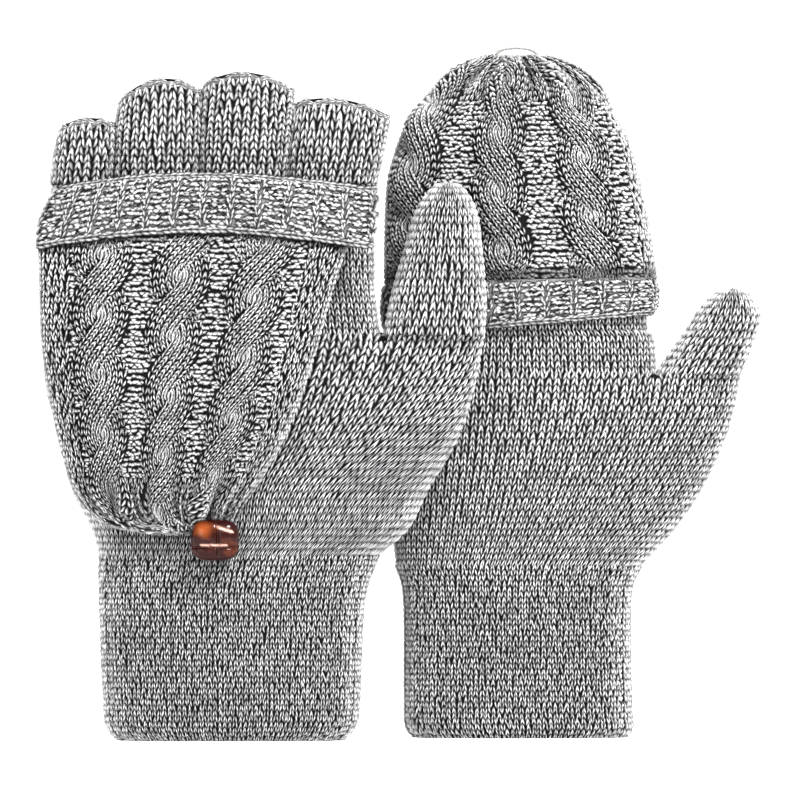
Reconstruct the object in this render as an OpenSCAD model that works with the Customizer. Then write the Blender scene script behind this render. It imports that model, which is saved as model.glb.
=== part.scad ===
// A pair of knitted flip-top mittens: fingerless gloves, each with a mitten cap hinged on its back.
// The pair stands on its cuffs, fingers up. The left mitten shows its back with the cap folded
// down and looped to its button. The right mitten shows its palm with the cap over the fingers.
// Millimetres, +Z towards the fingertips, -Y towards the viewer.

/* [Fabric] */
// Thickness of the knitted wall
wall = 2.6; // [2.2:0.1:3.0]
// Thickness of the rib band at the mouth of each cap
band_wall = 3.4; // [3.0:0.1:3.8]
// Half depth of a filled hand section
hand_depth = 14; // [13:0.5:14.5]
// Half depth of a cuff
cuff_depth = 16; // [15:0.5:17]
// Squareness of a section: 2 is an ellipse, larger is boxier
squareness = 2.6; // [2.2:0.1:3.2]

/* [Layout] */
// Depth position of the left mitten
left_y = -12.6; // [-15:0.1:-12]
// Depth position of the right mitten, which stands behind the left thumb
right_y = 15.4; // [15.4:0.1:18]

/* [Caps] */
// Height of the seam that hinges each cap on the back of its hand
hinge_z = 164; // [162:0.5:166]
// How far the hinge seam stands off the middle of the hand
hinge_off = 15.2; // [15.2:0.1:16]
// Thickness of the folded left cap
folded_depth = 14; // [12:0.5:16]
// Radius of the overcast hinge seam
seam_r = 1; // [0.6:0.1:1]

/* [Buttons] */
// Button diameter
button_d = 16.6; // [15:0.2:17]
// Button height over its flat back
button_h = 7; // [6:0.5:8]
// Radius of the thread shank
shank_r = 1.6; // [1.2:0.1:2]
// Length of the thread shank between the knit and the button
shank_len = 4.4; // [4.4:0.1:5]
// Diameter of the elastic cord of the loops
loop_cord_d = 1.2; // [1:0.1:1.4]

/* [Hidden] */

yarn = [0.70, 0.70, 0.70];
rib_yarn = [0.74, 0.74, 0.74];
leather = [0.30, 0.11, 0.07];
thread = [0.16, 0.13, 0.12];
elastic = [0.85, 0.85, 0.84];

ring_points = 24;      // points round a hand, cuff or cap section
finger_points = 20;    // points round a finger section
recess = 3.4;          // how far the knuckles step in, so that the cap's back can lie there
clear = 0.4;           // running gap between pieces on different bodies
edge_out = 0.7;        // how far a bound-off finger edge stands proud
edge_h = 2.4;          // height of a bound-off finger edge

left_cuff_top = 66;
left_crotch = 145;
left_finger_z = 199;
right_cuff_top = 62;
right_crotch = 131;
right_finger_z = 190;

// The hinge line of each cap: y of the left is on the viewer's side, of the right behind.
left_hinge_y = left_y - hinge_off;
right_hinge_y = right_y + hinge_off;

// Every table row is [z, x left, x right, y front, y back].
left_cuff_rows = [for (r = [[0, -101, -21, -1.5], [4, -105, -17, 0], [12, -106.5, -15, 0],
                            [50, -108, -13, 0], [left_cuff_top, -108, -8, -1]])
    [r[0], r[1], r[2], left_y - cuff_depth - r[3], left_y + cuff_depth + r[3]]];
left_hand_rows = [for (r = [[left_cuff_top, -108, -8, 1], [76, -111, 3, 0.5], [90, -118, 10, 0],
                            [107, -122, 20, 0], [125, -127, 26, 0], [left_crotch, -129, 30, 0]])
    [r[0], r[1], r[2], left_y - hand_depth - r[3], left_y + hand_depth + r[3]]];
left_knuckle_rows = [
    [left_crotch, -129, -7.5, left_y - hand_depth, left_y + hand_depth],
    [hinge_z - 3, -129, -9.5, left_y - hand_depth, left_y + hand_depth],
    [hinge_z + 2, -128.5, -9.5, left_y - hand_depth + recess, left_y + hand_depth],
    [185, -127.5, -9.5, left_y - hand_depth + recess, left_y + hand_depth - 1],
    [left_finger_z, -125, -8, left_y - hand_depth + recess, left_y + hand_depth - 2]];
left_thumb_rows = [for (r = [[left_crotch, -6.5, 30, 12], [160, -3.5, 30.5, 11.5], [176, 1, 29, 11],
                             [188, 4.5, 27.5, 10], [195, 8.5, 24.5, 7], [199, 12.5, 20.5, 4]])
    [r[0], r[1], r[2], left_y - 3 - r[3], left_y - 3 + r[3]]];

right_cuff_rows = [for (r = [[0, 6, 80, -1.5], [4, 2.5, 83, 0], [12, 2, 82.5, 0],
                             [50, 1.8, 82.2, 0], [right_cuff_top, -1, 86, -1]])
    [r[0], r[1], r[2], right_y - cuff_depth - r[3], right_y + cuff_depth + r[3]]];
right_hand_rows = [for (r = [[right_cuff_top, -1, 86, 1], [75, -2.5, 98, 0.5], [88, -3.5, 107, 0],
                             [102, -4, 114, 0], [116, -4.5, 119, 0], [right_crotch, -5, 122, 0]])
    [r[0], r[1], r[2], right_y - hand_depth - r[3], right_y + hand_depth + r[3]]];
right_knuckle_rows = [
    [right_crotch, -5, 91.5, right_y - hand_depth, right_y + hand_depth],
    [144, -4, 90.5, right_y - hand_depth, right_y + hand_depth],
    [148, -2.2, 88, right_y - hand_depth, right_y + hand_depth],
    [hinge_z - 3, -2, 88, right_y - hand_depth, right_y + hand_depth],
    [hinge_z + 2, -2, 87.5, right_y - hand_depth + 1, right_y + hand_depth - recess],
    [right_finger_z, 2.5, 81.5, right_y - hand_depth + 3, right_y + hand_depth - recess]];
right_thumb_rows = [for (r = [[right_crotch, 92.5, 122, 12], [140, 98.5, 125.6, 11.5],
                              [148, 104.2, 128.7, 10.5], [153, 107.3, 129.15, 9],
                              [157.5, 111, 127, 6.5], [161, 115.5, 123.5, 4]])
    [r[0], r[1], r[2], right_y - 1 - r[3], right_y - 1 + r[3]]];

// [name, top z, base left, base right, top left, top right]
left_fingers = [["little", 223, -125, -103.4, -121.7, -102.6],
                ["ring", 235, -102.8, -72.6, -100.6, -71.6],
                ["middle", 239.5, -72, -41.3, -70.2, -38.6],
                ["index", 228, -40.7, -9.5, -37.6, -4.5]];
right_fingers = [["little", 208, 4.5, 21.8, 6.5, 21],
                 ["ring", 219, 22.6, 41.4, 23, 41],
                 ["middle", 224, 42.2, 61.2, 42.4, 60.2],
                 ["index", 215, 62, 79.5, 61.6, 75]];

// The left cap folded down: from its gathered tip up to the hinge, and on to the rim.
function left_cap_row(z, x0, x1, depth) = [z, x0, x1, left_hinge_y - depth, left_hinge_y];
left_cap_rows = [left_cap_row(80.5, -109.5, -57.8, 5.2), left_cap_row(85, -114, -55.5, 8),
                 left_cap_row(92, -118, -50.5, 10.5), left_cap_row(98, -119.5, -47, 11.8),
                 left_cap_row(107, -122, -42, 12.8), left_cap_row(122, -125, -35.8, folded_depth),
                 left_cap_row(140, -127.8, -30, folded_depth), left_cap_row(158, -128.6, -25, 13.6),
                 left_cap_row(179, -129, -18.5, 12.4)];
left_band_rows = [left_cap_row(179.2, -129.6, -10, 13.4), left_cap_row(189, -129, -9.5, 12.6),
                  left_cap_row(199, -127, -8.5, 11.2)];

// The right cap over the fingers: from its rim up to the gathered tip.
cap_front_y = right_y - 18;
function right_cap_row(z, x0, x1, front, back) =
    [z, x0, x1, cap_front_y + front, right_hinge_y - back];
right_tip_y = right_y + 7.6;
right_band_rows = [right_cap_row(149, -6, 92, -0.6, 0), right_cap_row(165, -6, 92.2, -0.8, 0)];
right_cap_rows = [right_cap_row(165.2, -6, 92.2, 0, 0), right_cap_row(180, -6, 90.5, 0, 0),
                  right_cap_row(200, -5, 86.5, 0, 0), right_cap_row(215, -1, 82.8, 0.5, 0.4),
                  right_cap_row(225, 4, 77.5, 3, 0.8), right_cap_row(233, 10.4, 73.8, 6.5, 1.4),
                  right_cap_row(239, 17.3, 67, 11.5, 2.4), right_cap_row(243, 25, 58.5, 18, 3.8),
                  right_cap_row(245, 31, 52.5, 22, 4.4)];

// Arcs of a cap section, in degrees: 90 faces back and 270 faces the viewer.
front_arc = [198, 342];
back_arc = [30, 150];
side_arcs = [[-17.5, 29.5], [150.5, 197.5]];
band_arc = [188, 352];

left_button_at = [-67.3, 71.3];
right_button_at = [42, 69.5];
left_shank_y = left_y - hand_depth - 0.9;
right_shank_y = right_y + hand_depth + 0.8;

// ---- sections and skins ----

function side(v, p) = sign(v) * pow(abs(v), 2 / p);

// A point of a section row at angle a, inset all round by t
function section_point(row, a, t) = let (p = squareness)
    [(row[1] + row[2]) / 2 + ((row[2] - row[1]) / 2 - t) * side(cos(a), p),
     (row[3] + row[4]) / 2 + ((row[4] - row[3]) / 2 - t) * side(sin(a), p),
     row[0]];

function section(row, t, n) = [for (i = [0 : n - 1]) section_point(row, 360 * i / n, t)];

// Two triangles between point k and k+1 of loops a and b, each of n points
function band_faces(a, b, n) = [for (k = [0 : n - 1]) let (l = (k + 1) % n)
    each [[a * n + k, b * n + l, a * n + l], [a * n + k, b * n + k, b * n + l]]];

// A knitted tube open at both ends: outer loops going up, then inner loops coming down
module tube(rows, t, n) {
    m = len(rows);
    loops = [for (r = rows) section(r, 0, n), for (i = [m - 1 : -1 : 0]) section(rows[i], t, n)];
    polyhedron([for (l = loops) each l],
               [for (j = [0 : 2 * m - 1]) each band_faces(j, (j + 1) % (2 * m), n)]);
}

// A solid stack of sections with flat ends
module stack(loops, n) {
    m = len(loops);
    polyhedron([for (l = loops) each l],
               [[for (k = [0 : n - 1]) k],
                for (j = [0 : m - 2]) each band_faces(j, j + 1, n),
                [for (k = [n - 1 : -1 : 0]) (m - 1) * n + k]]);
}

// A knitted tube closed at its top, with a hollow that stops one wall below it
module pocket(rows, t, n) {
    m = len(rows);
    foot = rows[0];
    difference() {
        stack([for (r = rows) section(r, 0, n)], n);
        stack([section([foot[0] - 1, foot[1], foot[2], foot[3], foot[4]], t, n),
               for (j = [1 : m - 2]) section(rows[j], t, n)], n);
    }
}

// The part of a tube's wall between two angles, as one bent panel
module panel(rows, t, arc, steps) {
    m = len(rows);
    angles = [for (i = [0 : steps]) arc[0] + (arc[1] - arc[0]) * i / steps];
    n = 2 * (steps + 1);
    loops = [for (r = rows) each concat([for (a = angles) section_point(r, a, 0)],
                                        [for (i = [steps : -1 : 0]) section_point(r, angles[i], t)])];
    polyhedron(loops,
               [for (i = [0 : steps - 1]) each [[i, i + 1, n - 2 - i], [i, n - 2 - i, n - 1 - i]],
                for (j = [0 : m - 2]) each band_faces(j, j + 1, n),
                for (i = [0 : steps - 1]) let (o = (m - 1) * n)
                    each [[o + i, o + n - 2 - i, o + i + 1], [o + i, o + n - 1 - i, o + n - 2 - i]]]);
}

function cut_rows(rows, z_top) = [for (r = rows) if (r[0] < z_top - 0.5) r, at_height(rows, z_top)];
function start_rows(rows, z_low) = [at_height(rows, z_low), for (r = rows) if (r[0] > z_low + 0.5) r];
function at_height(rows, z) = [z, for (c = [1 : 4]) lookup(z, [for (r = rows) [r[0], r[c]]])];

// ---- glove pieces ----

function finger_rows(f, base_z, y, front, back) =
    [[base_z, f[2], f[3], y - front, y + back],
     [f[1] - edge_h, f[4], f[5], y - front + 0.6, y + back - 0.6]];

// One row at the top of a finger, standing out by t all round
function edge_row(f, z, y, front, back, t) =
    [z, f[4] - t, f[5] + t, y - front + 0.6 - t, y + back - 0.6 + t];

function edge_rows(f, y, front, back) =
    [edge_row(f, f[1] - edge_h, y, front, back, edge_out),
     edge_row(f, f[1] - edge_h / 2, y, front, back, edge_out),
     edge_row(f, f[1], y, front, back, 0)];

module finger(f, base_z, y, front, back) {
    color(yarn) tube(finger_rows(f, base_z, y, front, back), wall, finger_points);
}

// The rolled bound-off edges; neighbours at different heights, so each is trimmed to its own tube
module finger_edges(fingers, y, front, back) {
    for (f = fingers)
        color(rib_yarn) tube(edge_rows(f, y, front, back), wall, finger_points);
}

left_front = hand_depth - recess - 1.5;
left_back = hand_depth - 3;
right_front = hand_depth - 4;
right_back = hand_depth - recess - 1.5;

module hinge_seam(x0, x1, y) {
    color(rib_yarn) translate([x0, y, hinge_z]) rotate([0, 90, 0])
        cylinder(h = x1 - x0, r = seam_r, $fn = 32);
}

// ---- buttons and loops ----

// The sewn thread column; facing is -1 towards the viewer and +1 behind
module button_shank(at, y, facing) {
    color(thread) translate([at[0], y, at[1]]) rotate([-90 * facing, 0, 0]) {
        cylinder(h = shank_len, r = shank_r, $fn = 32);
    }
}

// A domed leather-look button with a rolled rim and a flat back
module button(at, y, facing) {
    r = button_d / 2;
    color(leather) translate([at[0], y + facing * (shank_len + clear), at[1]]) rotate([-90 * facing, 0, 0])
        rotate_extrude($fn = 64) intersection() {
            translate([0, 0]) square([r, button_h]);
            union() {
                translate([r - 2, 2]) circle(r = 2, $fn = 32);
                square([r - 2, 3]);
                intersection() {
                    translate([0, button_h - 11]) circle(r = 11, $fn = 96);
                    translate([0, 2]) square([r, button_h]);
                }
            }
        }
}

// The left loop hooks round its shank; its two legs meet a straight run along the gathered tip
module hooked_loop(at, y, reach) {
    bend = shank_r + loop_cord_d / 2 + 0.8;
    color(elastic) translate([at[0], y, at[1]]) {
        rotate([90, 0, 0]) rotate_extrude(angle = -180, $fn = 64)
            translate([bend, 0]) circle(d = loop_cord_d, $fn = 24);
        for (s = [-1, 1]) translate([s * bend, 0, 0]) cylinder(h = reach, d = loop_cord_d, $fn = 24);
        translate([-bend, 0, reach]) rotate([0, 90, 0]) cylinder(h = 2 * bend, d = loop_cord_d, $fn = 24);
    }
}

// The right loop stands as a low arch on a straight run along the gathered tip
module free_loop(x, y, foot_z, span, rise) {
    arch_r = (span * span / 4 + rise * rise) / (2 * rise);
    half = asin(span / 2 / arch_r);
    color(elastic) translate([x, y, foot_z + rise - arch_r]) rotate([90, 0, 0])
        rotate([0, 0, 90 - half]) rotate_extrude(angle = 2 * half, $fn = 96)
            translate([arch_r, 0]) circle(d = loop_cord_d, $fn = 24);
    color(elastic) translate([x - span / 2, y, foot_z]) rotate([0, 90, 0])
        cylinder(h = span, d = loop_cord_d, $fn = 24);
}

// A gathered tip: the plug of drawn-in stitches that closes the end of a cap; turn is 180 for a
// tip that points down
module cap_tip(x, y, z, width, depth, turn) {
    color(yarn) translate([x, y, z]) rotate([turn, 0, 0]) hull() {
        scale([width / 2, depth / 2, 1]) cylinder(h = 1, r = 1, $fn = 24);
        scale([width / 3, depth / 3, 1]) cylinder(h = 2, r = 1, $fn = 24);
    }
}

// ---- left mitten ----

module left_cuff() { color(rib_yarn) tube(left_cuff_rows, wall, ring_points); }
module left_hand() { color(yarn) tube(left_hand_rows, wall, ring_points); }
module left_knuckles() { color(yarn) tube(left_knuckle_rows, wall, ring_points); }
module left_thumb() { color(yarn) pocket(left_thumb_rows, wall, ring_points); }
module left_little_finger() { finger(left_fingers[0], left_finger_z, left_y, left_front, left_back); }
module left_ring_finger() { finger(left_fingers[1], left_finger_z, left_y, left_front, left_back); }
module left_middle_finger() { finger(left_fingers[2], left_finger_z, left_y, left_front, left_back); }
module left_index_finger() { finger(left_fingers[3], left_finger_z, left_y, left_front, left_back); }
module left_finger_edges() { finger_edges(left_fingers, left_y, left_front, left_back); }
module left_hinge_seam() { hinge_seam(-118, -34, left_hinge_y); }
module left_button_shank() { button_shank(left_button_at, left_shank_y, -1); }
module left_button() { button(left_button_at, left_shank_y, -1); }
module left_loop() { hooked_loop(left_button_at, left_shank_y - shank_len / 2, 7.7); }
module left_cap_back() {
    color(yarn) panel(start_rows(cut_rows(left_cap_rows, hinge_z - seam_r - 0.3), 90), wall, back_arc, 10);
}
module left_cap_front() { color(yarn) panel(left_cap_rows, wall, front_arc, 12); }
module left_cap_sides() {
    for (arc = side_arcs)
        color(yarn) panel(start_rows(cut_rows(left_cap_rows, hinge_z - seam_r - 0.3), 90),
                          wall, arc, 3);
}
module left_cap_band() { color(rib_yarn) panel(left_band_rows, band_wall, band_arc, 14); }
module left_cap_tip() { cap_tip(-67.3, left_hinge_y - 1.2, 82.1, 14, 2, 180); }

// ---- right mitten ----

module right_cuff() { color(rib_yarn) tube(right_cuff_rows, wall, ring_points); }
module right_hand() { color(yarn) tube(right_hand_rows, wall, ring_points); }
module right_knuckles() { color(yarn) tube(right_knuckle_rows, wall, ring_points); }
module right_thumb() { color(yarn) pocket(right_thumb_rows, wall, ring_points); }
module right_little_finger() { finger(right_fingers[0], right_finger_z, right_y, right_front, right_back); }
module right_ring_finger() { finger(right_fingers[1], right_finger_z, right_y, right_front, right_back); }
module right_middle_finger() { finger(right_fingers[2], right_finger_z, right_y, right_front, right_back); }
module right_index_finger() { finger(right_fingers[3], right_finger_z, right_y, right_front, right_back); }
module right_finger_edges() { finger_edges(right_fingers, right_y, right_front, right_back); }
module right_hinge_seam() { hinge_seam(8, 78, right_hinge_y); }
module right_button_shank() { button_shank(right_button_at, right_shank_y, 1); }
module right_button() { button(right_button_at, right_shank_y, 1); }
module right_loop() { free_loop(41.8, right_tip_y, 246.2, 15, 3); }
module right_cap_back() {
    color(yarn) panel(cut_rows(start_rows(right_cap_rows, hinge_z + seam_r + 0.3), 242.6),
                      wall, back_arc, 10);
}
module right_cap_front() { color(yarn) panel(cut_rows(right_cap_rows, 244), wall, front_arc, 12); }
module right_cap_sides() {
    for (arc = side_arcs)
        color(yarn) panel(cut_rows(right_cap_rows, 239), wall, arc, 3);
}
module right_cap_band() { color(rib_yarn) panel(right_band_rows, band_wall, band_arc, 14); }
module right_cap_tip() { cap_tip(41.8, right_tip_y, 243.2, 18, 3, 0); }

left_cuff();
left_hand();
left_knuckles();
left_thumb();
left_little_finger();
left_ring_finger();
left_middle_finger();
left_index_finger();
left_finger_edges();
left_hinge_seam();
left_button_shank();
left_button();
left_loop();
left_cap_back();
left_cap_front();
left_cap_sides();
left_cap_band();
left_cap_tip();
right_cuff();
right_hand();
right_knuckles();
right_thumb();
right_little_finger();
right_ring_finger();
right_middle_finger();
right_index_finger();
right_finger_edges();
right_hinge_seam();
right_button_shank();
right_button();
right_loop();
right_cap_back();
right_cap_front();
right_cap_sides();
right_cap_band();
right_cap_tip();
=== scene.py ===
import logging
import math
from collections.abc import Callable, Sequence
from dataclasses import dataclass, field, replace
from enum import Enum

import bpy
import numpy as np
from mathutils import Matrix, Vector


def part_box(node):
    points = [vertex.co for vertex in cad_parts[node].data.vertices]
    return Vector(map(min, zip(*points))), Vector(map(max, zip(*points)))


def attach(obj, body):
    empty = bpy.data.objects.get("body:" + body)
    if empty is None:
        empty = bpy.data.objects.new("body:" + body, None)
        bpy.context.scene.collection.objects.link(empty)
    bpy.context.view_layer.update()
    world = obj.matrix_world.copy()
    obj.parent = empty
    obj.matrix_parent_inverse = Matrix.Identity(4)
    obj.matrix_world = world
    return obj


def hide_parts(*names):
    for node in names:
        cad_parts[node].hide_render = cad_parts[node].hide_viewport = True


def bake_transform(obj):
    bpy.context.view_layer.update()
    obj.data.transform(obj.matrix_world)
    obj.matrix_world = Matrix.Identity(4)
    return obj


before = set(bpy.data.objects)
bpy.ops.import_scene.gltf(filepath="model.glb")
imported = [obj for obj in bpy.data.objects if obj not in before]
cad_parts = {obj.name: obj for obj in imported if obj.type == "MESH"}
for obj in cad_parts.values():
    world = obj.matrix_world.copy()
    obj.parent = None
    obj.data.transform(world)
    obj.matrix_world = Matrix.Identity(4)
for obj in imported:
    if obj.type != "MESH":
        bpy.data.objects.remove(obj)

LOG = logging.getLogger("mittens")
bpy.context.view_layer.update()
RNG = np.random.default_rng(616)

Array = np.ndarray
Rows = Sequence[tuple[float, float, float, float, float]]

MM = 1000.0          # millimetres in a metre

# Shared sizes, in millimetres
WALL = 2.6           # thickness of the cloth
LEFT_Y = -12.6       # middle of the left mitten, front to back
RIGHT_Y = 15.4       # middle of the right mitten
HINGE_OFF = 15.2     # from a mitten's middle to its cap's hinge
COURSE = 2.0         # usual height of a course
SHELL_DROP = 0.75    # how far the cloth lies under its stitches

SQUARENESS = 2.6     # exponent of a tube's section, where 2 is an ellipse
SIZE_SPREAD = 0.06   # how much stitches differ in width
TINT_SPREAD = 0.26   # how much they differ in tint
CORD_SIDES = 6
FINGER_ROUND = 2.05 * 0.88   # length round a half finger, as a share of its width and depth together


class Stitch(Enum):
    """The kinds of stitch that a patch is knitted in."""

    KNIT = "knit"
    PURL = "purl"


class Side(Enum):
    """The two mittens of the pair."""

    LEFT = "left"
    RIGHT = "right"


# ---------------------------------------------------------------------------
# Surfaces that the knitting lies on
# ---------------------------------------------------------------------------

def signed_power(v: Array, p: float) -> Array:
    """Raises v to 2 / p, keeping its sign."""
    return np.sign(v) * np.abs(v) ** (2.0 / p)


def smooth_rows(rows: Rows, count: int) -> Array:
    """Resamples section rows with a Catmull-Rom spline.

    Args:
        rows: Sections as (z, left, right, front, back).
        count: How many sections to return.

    Returns:
        An array of count rows of five numbers.
    """
    r = np.asarray(rows, float)
    r = np.vstack([2 * r[0] - r[1], r, 2 * r[-1] - r[-2]])
    u = np.linspace(0, len(rows) - 1 - 1e-6, count)
    i = u.astype(int)
    t = (u - i)[:, None]
    p0, p1, p2, p3 = r[i], r[i + 1], r[i + 2], r[i + 3]
    return 0.5 * ((2 * p1) + (p2 - p0) * t + (2 * p0 - 5 * p1 + 4 * p2 - p3) * t**2
                  + (3 * p1 - p0 - 3 * p2 + p3) * t**3)


def smooth_step(v: Array, low: float, high: float) -> Array:
    """Eases from 0 at low to 1 at high."""
    t = np.clip((v - low) / (high - low), 0, 1)
    return t * t * (3 - 2 * t)


class Surface:
    """A tube-like surface laid out by turns round it (a) and millimetres along it (b)."""

    def __init__(self, grid: Array) -> None:
        """Keeps the grid of points and works out its normals.

        Args:
            grid: Points as levels x around x 3; around runs once round and isn't repeated.
        """
        self.grid = grid
        self.drift: Callable[[Array, Array], Array] | None = None
        steps = np.linalg.norm(np.diff(grid, axis=0), axis=2).mean(axis=1)
        self.length = float(steps.sum())
        self.refresh()

    def refresh(self) -> None:
        """Works out the normals again from the grid."""
        g = self.grid
        around = np.roll(g, -1, axis=1) - np.roll(g, 1, axis=1)
        n = np.cross(around, np.gradient(g, axis=0))
        self.normals = n / np.maximum(np.linalg.norm(n, axis=2, keepdims=True), 1e-9)

    def warp(self, move: Callable[[Array, Array, Array], Array]) -> "Surface":
        """Adds a displacement to every grid point.

        Args:
            move: Given a (turns), b (mm) and the points, returns how each point moves.

        Returns:
            This surface.
        """
        levels, around = self.grid.shape[:2]
        b = np.linspace(0, self.length, levels)[:, None] + np.zeros((1, around))
        a = np.arange(around)[None, :] / around + np.zeros((levels, 1))
        self.grid = self.grid + move(a, b, self.grid)
        self.refresh()
        return self

    def relief(self, height: Callable[[Array, Array, Array], Array]) -> "Surface":
        """Raises the surface along its normals.

        Args:
            height: Given a (turns), b (mm) and the points, returns millimetres to rise.

        Returns:
            This surface.
        """
        return self.warp(lambda a, b, p: self.normals * height(a, b, p)[..., None])

    def at(self, a: Array, b: Array, h: Array) -> Array:
        """Places pattern points on the surface.

        Args:
            a: Turns round the tube.
            b: Millimetres along it.
            h: Millimetres above it.

        Returns:
            Points in millimetres, with a last axis of 3.
        """
        levels, around = self.grid.shape[:2]
        if self.drift is not None:
            a = a + self.drift(np.mod(a, 1.0), b)
        u = np.mod(a, 1.0) * around
        i0 = np.floor(u).astype(int) % around
        i1 = (i0 + 1) % around
        fu = (u - np.floor(u))[..., None]
        v = np.clip(b / self.length * (levels - 1), 0, levels - 1.000001)
        j0 = v.astype(int)
        fv = (v - j0)[..., None]
        over = (b - np.clip(b, 0, self.length))[..., None]

        def mix(g: Array) -> Array:
            """Blends the corners of each point's grid cell."""
            low = g[j0, i0] * (1 - fu) + g[j0, i1] * fu
            high = g[j0 + 1, i0] * (1 - fu) + g[j0 + 1, i1] * fu
            return low * (1 - fv) + high * fv

        point = mix(self.grid)
        step = self.grid[j0 + 1, i0] - self.grid[j0, i0]
        step = step / np.maximum(np.linalg.norm(step, axis=-1, keepdims=True), 1e-9)
        return point + mix(self.normals) * h[..., None] + step * over


def loft(rows: Rows, levels: int = 120, around: int = 360, squareness: float = SQUARENESS) -> Surface:
    """Lofts sections into a surface with even steps along and around.

    Args:
        rows: Sections as (z, left, right, front, back).
        levels: Grid rows along the tube.
        around: Grid columns round it.
        squareness: Exponent of the sections.

    Returns:
        The surface; a grows from the back over the left to the front.
    """
    sections, fine = 400, 1440
    r = smooth_rows(rows, sections)
    angle = np.radians(90.0 + 360.0 * np.arange(fine) / fine)
    cos_p, sin_p = signed_power(np.cos(angle), squareness), signed_power(np.sin(angle), squareness)
    x = (r[:, 1] + r[:, 2])[:, None] / 2 + (r[:, 2] - r[:, 1])[:, None] / 2 * cos_p
    y = (r[:, 3] + r[:, 4])[:, None] / 2 + (r[:, 4] - r[:, 3])[:, None] / 2 * sin_p
    z = r[:, 0][:, None] + 0 * x
    dense = np.stack([x, y, z], axis=2)
    spread = np.empty((len(r), around, 3))
    for j in range(len(r)):
        ring = np.vstack([dense[j], dense[j][:1]])
        s = np.concatenate([[0], np.cumsum(np.linalg.norm(np.diff(ring, axis=0), axis=1))])
        want = np.arange(around) / around * s[-1]
        for c in range(3):
            spread[j, :, c] = np.interp(want, s, ring[:, c])
    step = np.linalg.norm(np.diff(spread, axis=0), axis=2).mean(axis=1)
    s = np.concatenate([[0], np.cumsum(step)])
    want = np.linspace(0, s[-1], levels)
    k = np.clip(np.searchsorted(s, want) - 1, 0, len(s) - 2)
    f = ((want - s[k]) / np.maximum(s[k + 1] - s[k], 1e-9))[:, None, None]
    return Surface(spread[k] * (1 - f) + spread[k + 1] * f)


# ---------------------------------------------------------------------------
# Mesh gathering
# ---------------------------------------------------------------------------

@dataclass
class MeshParts:
    """Vertices, quads, tints and material numbers gathered for one piece."""

    points: list[Array] = field(default_factory=list)
    quads: list[Array] = field(default_factory=list)
    tints: list[Array] = field(default_factory=list)
    painted_lights: list[Array] = field(default_factory=list)
    slots: list[Array] = field(default_factory=list)
    count: int = 0

    def add(self, points: Array, quads: Array, tint: Array | float, crest: Array | float, slot: int) -> None:
        """Adds a block of geometry.

        Args:
            points: N x 3, in millimetres.
            quads: M x 4 vertex numbers within the block.
            tint: How light the yarn is at each point, 0 to 1.
            crest: Painted light at each point, 0 to 1: lit on a strand's crest, painted as shade towards 0 down in
                the fabric.
            slot: Material number of its faces.
        """
        points, quads = points.reshape(-1, 3), quads.reshape(-1, 4)
        self.points.append(points)
        self.quads.append(quads + self.count)
        for kept, value in ((self.tints, tint), (self.painted_lights, crest)):
            kept.append(np.broadcast_to(value, len(points)).astype(np.float32))
        self.slots.append(np.full(len(quads), slot, np.int32))
        self.count += len(points)

    def build(self, name: str, materials: Sequence[bpy.types.Material]) -> bpy.types.Object:
        """Makes the mesh object, in metres, with its tints and painted light (crest) values on its points.

        Args:
            name: Name of the object and its mesh.
            materials: Its materials, in the order of the slot numbers.

        Returns:
            The object, linked to the scene.
        """
        points = np.concatenate(self.points) / MM
        quads = np.concatenate(self.quads)
        mesh = bpy.data.meshes.new(name)
        mesh.vertices.add(len(points))
        mesh.vertices.foreach_set("co", points.astype(np.float32).ravel())
        mesh.loops.add(quads.size)
        mesh.loops.foreach_set("vertex_index", quads.astype(np.int32).ravel())
        mesh.polygons.add(len(quads))
        mesh.polygons.foreach_set("loop_start", np.arange(0, quads.size, 4, dtype=np.int32))
        mesh.polygons.foreach_set("material_index", np.concatenate(self.slots))
        mesh.polygons.foreach_set("use_smooth", np.ones(len(quads), bool))
        # The crest value is painted shade: the yarn materials darken towards black where it is low.
        for label, values in (("tint", self.tints), ("crest", self.painted_lights)):
            attribute = mesh.attributes.new(label, "FLOAT", "POINT")
            attribute.data.foreach_set("value", np.concatenate(values))
        for material in materials:
            mesh.materials.append(material)
        mesh.update(calc_edges=True)
        mesh.validate()
        piece = bpy.data.objects.new(name, mesh)
        bpy.context.collection.objects.link(piece)
        return piece


# ---------------------------------------------------------------------------
# Stitches
# ---------------------------------------------------------------------------

def grid_quads(rows: int, columns: int, closed: tuple[bool, bool] = (False, False)) -> Array:
    """Quads between the points of a grid that is stored row by row.

    Args:
        rows: Rows of points.
        columns: Points in a row.
        closed: Whether the last row joins the first, and the last column the first.

    Returns:
        N x 4 point numbers.
    """
    j, i = np.meshgrid(np.arange(rows if closed[0] else rows - 1),
                       np.arange(columns if closed[1] else columns - 1), indexing="ij")
    k, m = (i + 1) % columns, (j + 1) % rows
    return np.stack([j * columns + i, j * columns + k, m * columns + k, m * columns + i], -1).reshape(-1, 4)


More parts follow.
